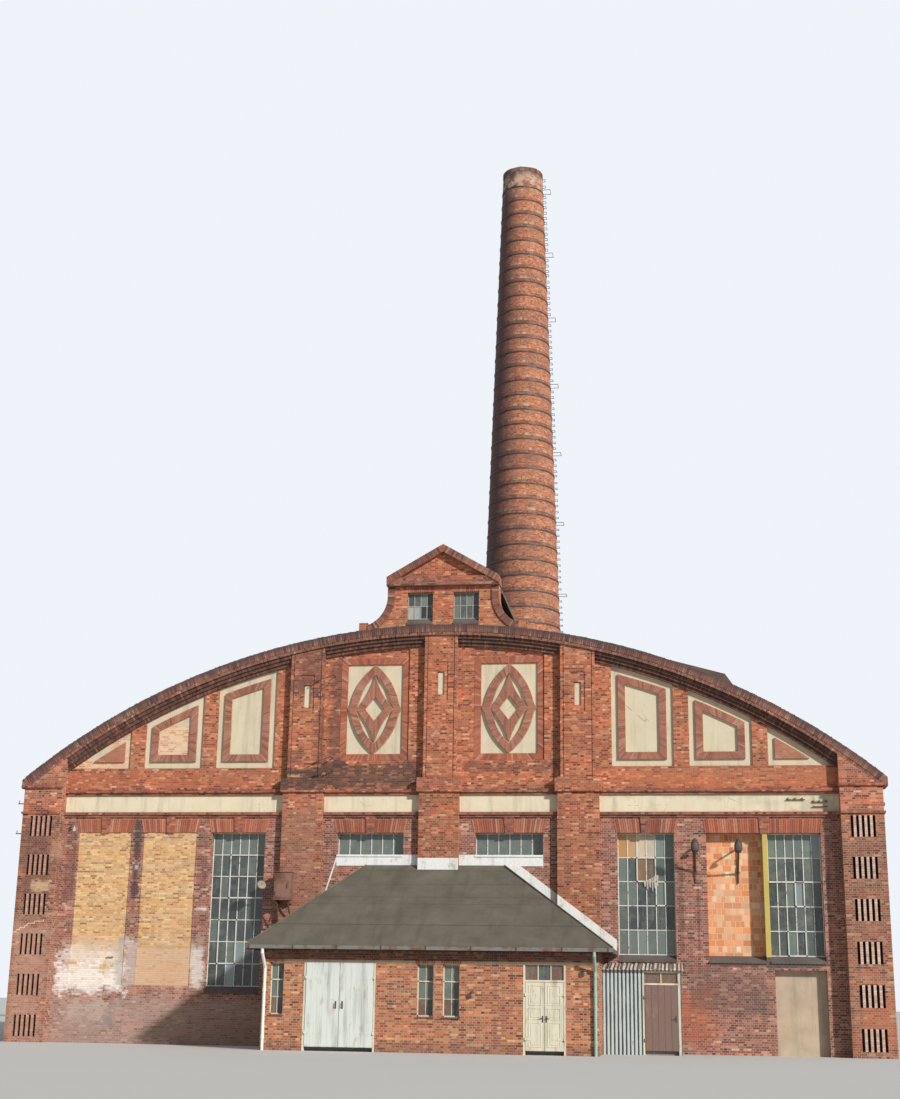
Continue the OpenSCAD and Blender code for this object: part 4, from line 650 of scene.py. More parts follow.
FRIEZE_STAINS = [
    (2.85, 6.95, 4.27, 4.5, 0.1, (0.4, 0.37, 0.25), 0.5),
    (3.0, 3.2, 4.0, 4.35, 0.08, (0.4, 0.37, 0.25), 0.45),
    (3.65, 3.85, 4.05, 4.35, 0.07, (0.44, 0.41, 0.28), 0.4),
    (5.35, 6.2, 4.1, 4.35, 0.1, (0.48, 0.45, 0.32), 0.4),
    (6.3, 6.95, 4.02, 4.3, 0.06, (0.36, 0.35, 0.28), 0.45),
    (-6.9, -3.0, 4.33, 4.5, 0.04, (0.46, 0.42, 0.28), 0.4)]
# The same without a colour, where the render has come off
BARE_PLACES = [
    (-5.3, -4.65, 5.05, 5.7, 0.03, 0.97), (-6.95, -6.2, 4.8, 5.08, 0.08, 0.95),
    (-6.3, -5.7, 4.85, 5.6, 0.1, 0.85), (5.4, 6.95, 4.0, 4.09, 0.025, 0.9),
    (-6.81, -6.785, 4.03, 4.3, 0.012, 0.85)]

LOWER_WALL = brickwork("lower_wall_brick", WALL_PLANE, LOWER_TONES, PALE_JOINT, 0.5, 0.5,
                       LOWER_WASHES_AND_SHADE)
GABLE_WALL = brickwork("gable_brick", WALL_PLANE, RED_TONES, WARM_JOINT, 0.4, 0.4,
                       GABLE_WASHES, foot=(3.9, (0.75, 0.8, 0.9)))
# Pier brick; deep in the slots it is darkened as painted shade
PIERS = brickwork("pier_brick", WALL_PLANE, RED_TONES, PALE_JOINT, 0.55, 0.45, PIER_WASHES,
                  foot=(3.9, (0.7, 0.82, 0.88)), sunk=(-6.94, PIER_X, 0.215, 4.1))
PILASTERS = brickwork("pilaster_brick", WALL_PLANE, RED_TONES, WARM_JOINT, 0.42, 0.45,
                      PILASTER_WASHES, foot=(3.9, (0.74, 0.84, 0.9)))
PLAIN_BRICK = brickwork("red_brick", WALL_PLANE, LOWER_TONES, PALE_JOINT, 0.45, 0.35)
RING_MORTAR = brickwork(
    "ring_mortar", WALL_PLANE, [(0.42, 0.24, 0.16), (0.56, 0.37, 0.27), (0.48, 0.3, 0.21)],
    (0.5, 0.34, 0.25), 0.35, 0.2, [(left, left + 1.05, 4.85, 5.45, 0.01, PANEL_RED, 0.8)
                                   for left in (5.85, -6.9)])
BANDS = brickwork("band_brick", WALL_PLANE, BAND_TONES, DARK_JOINT, 0.45, 0.3)
CURVE = brickwork("curved_brick", ARC_PLANE, COPING_TONES, DARK_JOINT, 0.55, 0.4)
# Corbels under the coping: very dark brick and joints as painted shade
SHADED_CORBELS = brickwork("corbel_brick_shaded", ARC_PLANE, CORBEL_SHADE_TONES, (0.09, 0.055, 0.042), 0.5, 0.3)
YELLOW_BRICK = brickwork(
    "yellow_brick", WALL_PLANE, YELLOW_TONES, (0.68, 0.5, 0.34), 0.12, 0.25, YELLOW_WASHES,
    soot_colour=(0.3, 0.16, 0.08), bloom_colour=(0.8, 0.62, 0.42), contrast=0.6)
ANNEX_BRICK = brickwork("annex_brick", WALL_PLANE, RED_TONES, PALE_JOINT, 0.3, 0.5,
                        ANNEX_WASHES_AND_EAVES_SHADE, foot=(3.9, (0.88, 1.02, 0.93)))
CHIMNEY_BRICK = make_chimney_brick()
BLOCKS = brickwork(
    "hollow_blocks", WALL_PLANE, BLOCK_TONES, (0.72, 0.55, 0.4), 0.1, 0.3,
    sizes={"Length": 0.155, "Course": 0.105, "Joint": 0.006}, soot_colour=(0.4, 0.16, 0.06),
    bloom_colour=(0.8, 0.62, 0.45), contrast=0.4)
ARCH_BRICK = dressed_brick("arch_brick", ARCH_TONES)
RING_BRICK = dressed_brick("ring_brick", RING_TONES, 0.25, 0.25)
COPING_BRICK = dressed_brick("coping_brick", COPING_TONES, 0.5, 0.4, crown=True)
PALE_FIN = dressed_brick("pale_fin_brick", [(0.5, 0.3, 0.22), (0.68, 0.5, 0.4),
                                            (0.6, 0.4, 0.31), (0.74, 0.6, 0.5)], 0.15, 0.2)
PINK_FIN = dressed_brick("pink_fin_brick", [(0.4, 0.2, 0.14), (0.54, 0.3, 0.22),
                                            (0.48, 0.25, 0.17), (0.62, 0.4, 0.3)], 0.25, 0.2)
CREAM = render_coat("cream_render", (0.78, 0.7, 0.51), (0.7, 0.61, 0.43), 0.36, BARE_PLACES,
                    (4.7, (0.88, 0.87, 0.87)), FRIEZE_STAINS)
GREY_COAT = render_coat("grey_render", (0.58, 0.46, 0.33), (0.44, 0.35, 0.25), 0.45)
ANNEX_FELT = roofing_felt("annex_felt", (0.1, 0.088, 0.066), (0.15, 0.132, 0.1), 0.5)
HALL_FELT = roofing_felt("hall_felt", (0.1, 0.095, 0.09), (0.17, 0.16, 0.15), 0.9, True)
LIGHT_FELT = roofing_felt("rooflight_felt", (0.1, 0.06, 0.05), (0.18, 0.11, 0.085), 0.42, True)
FRONT_GLASS = window_glass("front_glass", 1, [6.535, 6.595], BAR_WHITE)
SIDE_GLASS = window_glass("side_glass", 0, [7.585], BAR_WHITE)
ANNEX_GLASS = window_glass("annex_glass", 1, [8.605], (0.55, 0.48, 0.36))
PANES = old_panes()
WHITE_METAL = sheet_metal("white_flashing", (0.84, 0.85, 0.82), 0.12, (0.5, 0.42, 0.32))
GUTTER_METAL = sheet_metal("gutter_zinc", (0.2, 0.2, 0.185), 0.55)
PIPE_PAINT = pipe_paint()
PORCH_SHEET = striped_sheet("porch_sheet", (0.5, 0.57, 0.56), (0.07, 0.085, 0.09), 0.25)
RUSTY_SHEET = striped_sheet("rusty_roof_sheet", (0.72, 0.68, 0.6), (0.16, 0.085, 0.06), 0.5)
RUSTY_IRON = sheet_metal("rusty_iron", (0.07, 0.05, 0.045), 0.8, (0.16, 0.07, 0.04))
BLACK_IRON = sheet_metal("hoop_iron", (0.045, 0.035, 0.034), 0.45, (0.1, 0.05, 0.035))
BROWN_METAL = sheet_metal("cabinet_metal", (0.26, 0.14, 0.1), 0.6, (0.2, 0.085, 0.045))
LAMP_WHITE = sheet_metal("lamp_bowl", (0.27, 0.235, 0.17), 0.35)
SMOKED_BOWL = sheet_metal("smoked_bowl", (0.13, 0.13, 0.12), 0.3, rough=0.3)
BAR_PAINT = sheet_metal("window_bar_paint", BAR_WHITE, 0.2)
CREAM_PAINT = timber("cream_paint", (0.69, 0.65, 0.5), (0.3, 0.2, 0.12), 0.7, 0.45)
WHITE_PAINT = timber("white_paint", (0.66, 0.7, 0.65), (0.34, 0.29, 0.22), 0.6, 0.45)
BROWN_PAINT = timber("brown_paint", (0.2, 0.13, 0.105), (0.26, 0.17, 0.12))
DARK_BOARD = timber("dark_boards", (0.055, 0.035, 0.028), (0.12, 0.08, 0.055))
YELLOW_POST = timber("yellow_post", (0.54, 0.42, 0.11), (0.34, 0.22, 0.1))
SILL_STONE = cast_floor("sill_render", (0.15, 0.125, 0.11))
FLOOR_STONE = cast_floor("ground_floor", (0.36, 0.34, 0.31))

for material, names in (
        (FLOOR_STONE, "ground_floors"), (SILL_STONE, "window_sills"),
        (LOWER_WALL, "front_wall_left front_wall_middle front_wall_right"),
        (GABLE_WALL, "front_gable gablet_wall"), (PIERS, "corner_piers"),
        (PILASTERS, "front_pilasters"), (CREAM, "cream_panels"), (SHADED_CORBELS, "gable_corbels"),
        (BANDS, "string_course front_cornice gablet_cornice keystones pier_caps"),
        (RING_MORTAR, "panel_frames lozenge_reliefs"), (CURVE, "gable_coping"),
        (YELLOW_BRICK, "yellow_brick_infill"), (BLOCKS, "block_infill"),
        (GREY_COAT, "doorway_infill"), (CHIMNEY_BRICK, "chimney_shaft"),
        (PLAIN_BRICK, "side_wall_left side_wall_right rear_wall chimney_plinth"),
        (FRONT_GLASS, "front_windows"), (SIDE_GLASS, "side_windows"),
        (ANNEX_GLASS, "annex_windows"), (HALL_FELT, "hall_roof lantern_roof"),
        (LIGHT_FELT, "roof_lights"), (ANNEX_FELT, "annex_roof"),
        (ANNEX_BRICK, "annex_front_wall annex_lintels annex_side_walls"),
        (WHITE_METAL, "annex_flashing"), (GUTTER_METAL, "annex_gutter"),
        (PIPE_PAINT, "downpipes"), (PORCH_SHEET, "porch_walls"), (RUSTY_SHEET, "porch_roof"),
        (CREAM_PAINT, "door_frames entrance_door_left entrance_door_right"),
        (WHITE_PAINT, "yard_door_left yard_door_right"), (BROWN_PAINT, "porch_door"),
        (DARK_BOARD, "lantern_walls"), (RUSTY_IRON, "door_hinges chimney_ladder"),
        (BLACK_IRON, "chimney_hoops"), (BROWN_METAL, "wall_fittings")):
    for name in names.split():
        nodes[name].data.materials.clear()
        nodes[name].data.materials.append(material)


# Modelling helpers

def shift(x, y, z):
    return Matrix.Translation((x, y, z))


def turned(angle, axis):
    return Matrix.Rotation(angle, 4, axis)


FRONT = shift(0.0, FRONT_Y, 0.0)
REAR = turned(math.pi, "Z") @ FRONT
ANNEX = shift(0.0, ANNEX_Y, 0.0)
# Places of the side windows: x along the wall, y into it
SIDE_PLACES = [shift(side * HALL_HALF, y, 0.0) @ turned(side * math.pi / 2, "Z")
               for side in (-1, 1) for y in SIDE_WINDOWS]


def moved_by(mesh, verts, place):
    if place is not None:
        bmesh.ops.transform(mesh, matrix=place, verts=verts)
    return verts


def box(mesh, low, high, place=None):
    """A box between two corners, moved by place."""
    made = bmesh.ops.create_cube(mesh, size=1.0)["verts"]
    bmesh.ops.scale(mesh, vec=[b - a for a, b in zip(low, high)], verts=made)
    bmesh.ops.translate(mesh, vec=[(b + a) / 2 for a, b in zip(low, high)], verts=made)
    return moved_by(mesh, made, place)


def sloped_sill(mesh, low, high, place):
    """A box whose upper front edge lies 14 mm lower."""
    made = box(mesh, low, high)
    for vert in made:
        if vert.co.y < 0 and vert.co.z > (low[2] + high[2]) / 2:
            vert.co.z -= 0.014
    moved_by(mesh, made, place)


def prism(mesh, outline, depth, place=None):
    """A flat outline of x and z points at y 0, drawn back to y = depth."""
    corners = [mesh.verts.new((x, 0.0, z)) for x, z in outline]
    face = mesh.faces.new(corners)
    pulled = bmesh.ops.extrude_face_region(mesh, geom=[face])["geom"]
    moved = [v for v in pulled if isinstance(v, bmesh.types.BMVert)]
    bmesh.ops.translate(mesh, vec=(0.0, depth, 0.0), verts=moved)
    return moved_by(mesh, corners + moved, place)


def rod(mesh, start, end, radius, sides=10, tip=None):
    """A round bar from start to end, tapering to tip."""
    start, end = Vector(start), Vector(end)
    way = end - start
    made = bmesh.ops.create_cone(mesh, cap_ends=True, segments=sides, radius1=radius,
                                 radius2=radius if tip is None else tip,
                                 depth=way.length)["verts"]
    turn = way.to_track_quat("Z", "Y").to_matrix().to_4x4()
    moved_by(mesh, made, shift(*(start + end) / 2) @ turn)


def lathed(mesh, profile, place):
    """Points of radius and height spun round the upright axis."""
    others = set(mesh.verts)
    path = [mesh.verts.new((radius, 0.0, height)) for radius, height in profile]
    edges = [mesh.edges.new(pair) for pair in zip(path, path[1:])]
    bmesh.ops.spin(mesh, geom=path + edges, cent=(0, 0, 0), axis=(0, 0, 1),
                   angle=2 * math.pi, steps=16, use_merge=True)
    moved_by(mesh, [vert for vert in mesh.verts if vert not in others], place)


def finish_piece(name, mesh, material, body="root", round_edges=0.0):
    """Turns a bmesh into a piece of the object that rides on a body."""
    bmesh.ops.recalc_face_normals(mesh, faces=mesh.faces)
    if round_edges:
        bmesh.ops.bevel(mesh, geom=mesh.edges[:], offset=round_edges, affect="EDGES",
                        segments=1, profile=0.5, material=-1)
    data = bpy.data.meshes.new(name)
    mesh.to_mesh(data)
    mesh.free()
    piece = bpy.data.objects.new(name, data)
    bpy.context.scene.collection.objects.link(piece)
    data.materials.append(material)
    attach(piece, body)


# Brick dressings

def brick_mesh():
    """An empty mesh whose points can hold the tone of their brick or pane."""
    mesh = bmesh.new()
    mesh.verts.layers.float.new("tone")
    return mesh


def tint(mesh, verts, tone=None):
    """Gives all points of one brick or pane the same tone."""
    layer = mesh.verts.layers.float["tone"]
    tone = chance.random() if tone is None else tone
    for vert in verts:
        vert[layer] = tone


def soldier_arch(mesh, x0, x1, place, bearing=0.02, z0=HEAD_Z, z1=ARCH_TOP, proud=0.006,
                 fan=0.055):
    """Flat arch of upright bricks over an opening; they lean outwards towards its ends."""
    x0, x1 = x0 - bearing, x1 + bearing
    count = max(3, round((x1 - x0) / COURSE))
    pitch = (x1 - x0) / count
    middle, half = (x0 + x1) / 2, (x1 - x0) / 2
    for i in range(count):
        left = x0 + i * pitch + 0.004
        made = box(mesh, (left, -proud - chance.uniform(0, 0.003), z0),
                   (left + pitch - 0.008, 0.02, z1))
        for vert in made:
            if vert.co.z > (z0 + z1) / 2:
                vert.co.x += fan * (vert.co.x - middle) / half
        tint(mesh, moved_by(mesh, made, place))


def window_arches():
    """Flat arches over the windows of all sides."""
    low_heads = (0.004, 0.0)
    for name, arches in {
            "front_soldier_arches": [
                *((x0, x1, FRONT)
                  for x0, x1 in LEFT_WINDOWS + MID_WINDOWS + RIGHT_WINDOWS[:1]),
                (RIGHT_WINDOWS[1][0], RIGHT_WINDOWS[2][1], FRONT, 0.02, HEAD_Z, ARCH_TOP,
                 0.006, 0.03)],
            "side_and_rear_arches": [
                *((-SIDE_HALF, SIDE_HALF, place) for place in SIDE_PLACES),
                *((x0, x1, REAR) for x0, x1 in REAR_WINDOWS)],
            "gablet_window_heads": [
                (x0, x0 + GABLET_WIDE, place, 0.03, GABLET_HEAD, 8.215, *low_heads)
                for place in (FRONT, REAR) for x0 in GABLET_WINDOWS],
            "annex_window_heads": [
                (x0, x0 + width, ANNEX, 0.03, ANNEX_HEAD, 1.43, *low_heads)
                for x0, width in ANNEX_WINDOWS]}.items():
        mesh = brick_mesh()
        for arch in arches:
            soldier_arch(mesh, *arch)
        finish_piece(name, mesh, ARCH_BRICK)


def coping_bricks():
    """Bricks on edge round the face of the curved coping, and their drip course."""
    mesh = brick_mesh()
    half_turn = math.asin((HALL_HALF + 0.095) / COPING_R)
    count = int(2 * half_turn * COPING_R / COURSE)
    wide = COURSE / 2 - 0.003
    for place in (FRONT, REAR):
        for i in range(count):
            turn = -half_turn + (i + 0.5) * 2 * half_turn / count
            at = place @ (shift(0, 0, ARC_Z) @ turned(turn, "Y"))
            top = COPING_R + chance.uniform(-0.002, 0.008)
            if math.cos(turn) * WALL_R + ARC_Z < 4.53:
                continue
            out = 0.176 + chance.uniform(0.0, 0.008)
            for reach, low, high in ((out, 0.055, top - WALL_R), (out - 0.014, 0.004, 0.05)):
                tint(mesh, box(mesh, (-wide, -reach, WALL_R + low),
                               (wide, -0.1, WALL_R + high), at))
    finish_piece("coping_bricks", mesh, COPING_BRICK)


def gablet_edging():
    """Bricks on edge along the gablet's rakes, its eaves band and its hollow shoulders."""
    mesh = brick_mesh()
    apex, eaves = Vector((0.0, 9.005)), Vector((1.055, 8.39))
    way = (eaves - apex).normalized()
    inward = Vector((way.y, -way.x)) * 0.124
    hollow_x, hollow_z, outer, inner = 1.61, 8.03, 0.702, 0.573
    count = int((eaves - apex).length / COURSE)
    pitch = (eaves - apex).length / count
    for place in (FRONT, REAR):
        for sign in (-1, 1):
            side = place @ Matrix.Diagonal((sign, 1, 1, 1))
            for i in range(count):
                a = apex + way * (pitch * i + 0.003)
                b = apex + way * (pitch * (i + 1) - 0.003)
                points = [a, b, b + inward, a + inward]
                if points[3].x >= 0.004:
                    tint(mesh, prism(mesh, points, 0.02, side @ shift(0, -0.126, 0)))
            for i in range(8):
                left = 0.004 + i * 1.05 / 8
                tint(mesh, box(mesh, (left, 0.0, 8.224), (left + 0.125, 0.02, 8.262),
                               side @ shift(0, -0.105, 0)))
            at = side @ shift(0, -0.029, 0)
            for i in range(20):
                a, b = (math.radians(180 + 66 * (i + end) / 20) for end in (0.07, 0.93))
                points = [(hollow_x + math.cos(turn) * reach,
                           hollow_z + math.sin(turn) * reach)
                          for turn, reach in ((a, outer), (b, outer), (b, inner), (a, inner))]
                tint(mesh, prism(mesh, points, 0.02, at))
            for i in range(5):
                low = hollow_z + 0.003 + i * 0.0375
                tint(mesh, box(mesh, (hollow_x - outer, 0.0, low),
                               (hollow_x - inner, 0.02, low + 0.033), at))
    finish_piece("gablet_edging_bricks", mesh, COPING_BRICK)


def ring_bricks(mesh, outer, inner, place, closed=True):
    """Bricks laid across a ring between matching outer and inner corner points."""
    total = len(outer)
    for i in range(total if closed else total - 1):
        j = (i + 1) % total
        a0, a1, b0, b1 = (Vector(p) for p in (outer[i], outer[j], inner[i], inner[j]))
        count = max(1, round(((a1 - a0).length + (b1 - b0).length) / 2 / COURSE))
        for k in range(count):
            s, e = (k + 0.07) / count, (k + 0.93) / count
            points = [a0.lerp(a1, s), a0.lerp(a1, e), b0.lerp(b1, e), b0.lerp(b1, s)]
            tint(mesh, prism(mesh, points, 0.02, place))


def arc_height(radius, x):
    return ARC_Z + math.sqrt(radius * radius - x * x)


def field_corners(x0, x1, inset):
    """Corners of a gable field, with points along its curved head."""
    left, right = x0 + inset, x1 - inset
    foot = 4.86 + inset
    head = [(x, arc_height(CORBEL_R - inset, x)) for x in
            (left + (right - left) * i / 4 for i in range(5))]
    return [(left, foot)] + head + [(right, foot)]


def field_rings():
    """Bricks of the rings in the two inner fields on either side of the gable."""
    mesh = brick_mesh()
    bay, edge, gap, end = 4.125, 0.225, 0.27, 0.075
    width = (bay - edge - 2 * gap - end) / 3
    for sign in (-1, 1):
        place = FRONT @ Matrix.Diagonal((sign, 1, 1, 1)) @ shift(0, -0.004, 0)
        for number in (0, 1):
            x0 = BAY_X + edge + number * (width + gap)
            ring_bricks(mesh, field_corners(x0, x0 + width, 0.122),
                        field_corners(x0, x0 + width, 0.248), place)
    finish_piece("field_ring_bricks", mesh, RING_BRICK)


def bowed(a, b, hollow, steps):
    """Points from a towards b on a bow, without b."""
    a, b = Vector(a), Vector(b)
    way = b - a
    out = Vector((way.y, -way.x)).normalized()
    return [a + way * (i / steps) + out * hollow * 4 * (i / steps) * (1 - i / steps)
            for i in range(steps)]


def pointed_outline(wide, high, hollow, full, waist):
    """One quarter of a pointed relief, from its side tip to its upper tip."""
    waist = (waist[0] * wide, waist[1] * high)
    return (bowed((wide, 0), waist, -hollow, 4) + bowed(waist, (0, high), full, 10)
            + [Vector((0, high))])


def lozenge_bricks():
    """Bricks laid across the rings and diamonds of the two pointed reliefs."""
    mesh = brick_mesh()
    outer = pointed_outline(0.493, 0.811, 0.014, 0.062, (0.85, 0.23))
    inner = pointed_outline(0.351, 0.641, 0.0, 0.038, (0.77, 0.35))
    diamond = bowed((0.343, 0), (0, 0.628), -0.05, 8) + [Vector((0, 0.628))]
    core = [Vector((0.182, 0)).lerp(Vector((0, 0.236)), i / 8) for i in range(9)]
    sunk, thick = 0.06, 0.054
    for centre in MID_FIELDS:
        for sx in (-1, 1):
            for sz in (-1, 1):
                at = (shift(centre, FRONT_Y + sunk - thick, 5.93)
                      @ Matrix.Diagonal((sx, 1, sz, 1)))
                ring_bricks(mesh, outer, inner, at, False)
                ring_bricks(mesh, diamond, core, at, False)
    finish_piece("lozenge_bricks", mesh, RING_BRICK)


def mid_frames():
    """Header bricks round the cream fields over the annex."""
    mesh = brick_mesh()
    for centre in MID_FIELDS:
        rings = []
        for out, foot, head in ((0.12, 4.985, 6.875), (0.003, 5.102, 6.758)):
            left, right = centre - 0.513 - out, centre + 0.513 + out
            rings.append([(left, foot), (left, head), (right, head), (right, foot)])
        ring_bricks(mesh, *rings, FRONT @ shift(0, 0.024, 0))
    finish_piece("mid_field_frames", mesh, ARCH_BRICK)


def pilaster_slot_backs():
    """Small pale blocks at the back of the pilaster slots."""
    mesh = bmesh.new()
    for x, z in ((-2.48, 5.83), (2.48, 5.83), (0.0, 6.05)):
        box(mesh, (x - 0.055, -0.075, z + 0.12), (x + 0.055, -0.069, z + 0.525), FRONT)
    finish_piece("pilaster_slot_backs", mesh, CREAM)


def pier_fins():
    """Stacked bricks on the fins between the ventilation slots of the corner piers."""
    slot_high = 0.365
    for sign, label, material in ((-1, "left", PINK_FIN), (1, "right", PALE_FIN)):
        mesh = brick_mesh()
        for row in range(6):
            foot = 4.0 - 0.035 - row * 0.7 - slot_high
            for i in (-1.5, -0.5, 0.5, 1.5):
                x = sign * PIER_X + i * 0.092
                for k in range(9):
                    low = foot + k * slot_high / 9 + 0.0015
                    out = 0.252 + chance.uniform(0, 0.003)
                    tint(mesh, box(mesh, (x - 0.0225, -out, low),
                                   (x + 0.0225, -0.2, low + 0.0375), FRONT))
        finish_piece("pier_fin_bricks_" + label, mesh, material)


# Joinery

def upright_boards(mesh, x0, x1, y, z0, z1, count, uneven=0.0):
    """Boards side by side on a leaf; their feet may end unevenly."""
    for i in range(count):
        left, right = (x0 + (x1 - x0) * k / count for k in (i, i + 1))
        foot = z0 + (chance.uniform(0, uneven) if uneven else 0.0)
        box(mesh, (left + 0.002, y - 0.004, foot), (right - 0.002, y + 0.001, z1))


def yard_leaf(body, x0, x1):
    """Boards on two ledges and a pull on one yard door leaf."""
    y = ANNEX_Y
    mesh = bmesh.new()
    upright_boards(mesh, x0, x1, y, 0.07, 1.388, 6, 0.006)
    for z in (0.32, 1.2):
        box(mesh, (x0 + 0.012, y + 0.0245, z), (x1 - 0.012, y + 0.04, z + 0.075))
    finish_piece(body + "_boards", mesh, WHITE_PAINT, body, 0.0012)
    mesh = bmesh.new()
    free = x1 - 0.05 if body.endswith("left") else x0 + 0.05
    box(mesh, (free - 0.012, y - 0.008, 0.66), (free + 0.012, y - 0.003, 0.78))
    for z in (0.69, 0.75):
        rod(mesh, (free, y - 0.004, z), (free, y - 0.034, z), 0.005)
    rod(mesh, (free, y - 0.034, 0.68), (free, y - 0.034, 0.76), 0.006)
    finish_piece(body + "_pull", mesh, RUSTY_IRON, body)


def entrance_leaf(body, x0, x1):
    """Framed and raised panels and a handle on one entrance leaf."""
    y = ANNEX_Y
    mesh = bmesh.new()
    for low, high in ((0.12, 0.5), (0.54, 0.72), (0.76, 1.07)):
        for foot in (low, high - 0.014):
            box(mesh, (x0 + 0.045, y - 0.006, foot), (x1 - 0.045, y + 0.001, foot + 0.014))
        for x in (x0 + 0.045, x1 - 0.059):
            box(mesh, (x, y - 0.006, low + 0.014), (x + 0.014, y + 0.001, high - 0.014))
        box(mesh, (x0 + 0.08, y - 0.005, low + 0.036), (x1 - 0.08, y + 0.001, high - 0.036))
    finish_piece(body + "_panels", mesh, CREAM_PAINT, body, 0.002)
    mesh = bmesh.new()
    inward = -1 if body.endswith("left") else 1
    free = (x1 if inward < 0 else x0) + inward * 0.024
    box(mesh, (free - 0.011, y - 0.005, 0.5), (free + 0.011, y + 0.001, 0.6))
    rod(mesh, (free, y - 0.004, 0.565), (free, y - 0.03, 0.565), 0.005)
    rod(mesh, (free, y - 0.028, 0.565), (free + inward * 0.055, y - 0.028, 0.562), 0.005)
    finish_piece(body + "_handle", mesh, RUSTY_IRON, body)


def porch_leaf():
    """Boards, ledges and a handle on the porch door."""
    y = PORCH_Y
    x0, x1 = 3.603, 4.135
    mesh = bmesh.new()
    upright_boards(mesh, x0, x1, y, 0.07, 1.1, 5)
    for z in (0.2, 0.88):
        box(mesh, (x0 + 0.01, y + 0.0245, z), (x1 - 0.01, y + 0.038, z + 0.07))
    finish_piece("porch_leaf_boards", mesh, BROWN_PAINT, "porch_leaf", 0.0012)
    mesh = bmesh.new()
    free = 4.107
    box(mesh, (free - 0.012, y - 0.008, 0.52), (free + 0.012, y - 0.003, 0.62))
    rod(mesh, (free, y - 0.006, 0.58), (free, y - 0.034, 0.58), 0.005)
    rod(mesh, (free, y - 0.032, 0.58), (free - 0.057, y - 0.032, 0.577), 0.005)
    finish_piece("porch_leaf_handle", mesh, RUSTY_IRON, "porch_leaf")


def transoms():
    """Glazing bars and dark panes over the entrance and porch doors."""
    mesh = bmesh.new()
    for x, y, low, high in ((1.725 + 0.62 / 3, ANNEX_Y, 1.15, 1.4),
                            (1.725 + 1.24 / 3, ANNEX_Y, 1.15, 1.4),
                            (3.868, PORCH_Y, 1.145, 1.305)):
        box(mesh, (x - 0.008, y + 0.018, low), (x + 0.008, y + 0.036, high))
    finish_piece("transom_bars", mesh, CREAM_PAINT, round_edges=0.0015)
    mesh = brick_mesh()
    for x0, wide, y, low, high, tones in (
            (1.722, 0.626 / 3, ANNEX_Y, 1.147, 1.403, (1.0, 0.5, 1.0)),
            (3.59, 0.279, PORCH_Y, 1.145, 1.308, (1.0, 0.99))):
        for i, tone in enumerate(tones):
            left = x0 + i * wide
            tint(mesh, box(mesh, (left, y + 0.03, low), (left + wide, y + 0.0335, high)), tone)
    finish_piece("transom_panes", mesh, PANES)


def annex_frames():
    """Pale casings round the annex windows and their sloped sills."""
    low, high, wide = ANNEX_SILL, ANNEX_HEAD, 0.018
    casings, sills = bmesh.new(), bmesh.new()
    for x0, width in ANNEX_WINDOWS:
        x1 = x0 + width
        for left, right, foot, head in (
                (x0, x0 + wide, low, high), (x1 - wide, x1, low, high),
                (x0, x1, high - wide, high), (x0, x1, low, 0.58), (x0, x1, 1.1, 1.1 + wide)):
            box(casings, (left, 0.072, foot), (right, 0.085, head), ANNEX)
        sloped_sill(sills, (x0 - 0.015, -0.022, 0.535), (x1 + 0.015, 0.08, 0.562), ANNEX)
    finish_piece("annex_window_casings", casings, CREAM_PAINT)
    finish_piece("annex_window_sills", sills, SILL_STONE)


def pane_sheets(mesh, x0, x1, z0, z1, cols, rows, glass, place, tones=None):
    """A thin sheet in each opening between the bars; tones may name some panes."""
    pitch_x, pitch_z = (x1 - x0 - BAR) / cols, (z1 - z0 - BAR) / rows
    for i in range(cols):
        for j in range(rows):
            tone = (tones or {}).get((i, j), 0.3 + 0.3 * chance.random() ** 1.6)
            left, low = x0 + i * pitch_x + BAR, z0 + j * pitch_z + BAR
            tint(mesh, box(mesh, (left, glass - 0.002, low),
                           (left + pitch_x - BAR, glass - 0.0004, low + pitch_z - BAR), place),
                 tone)


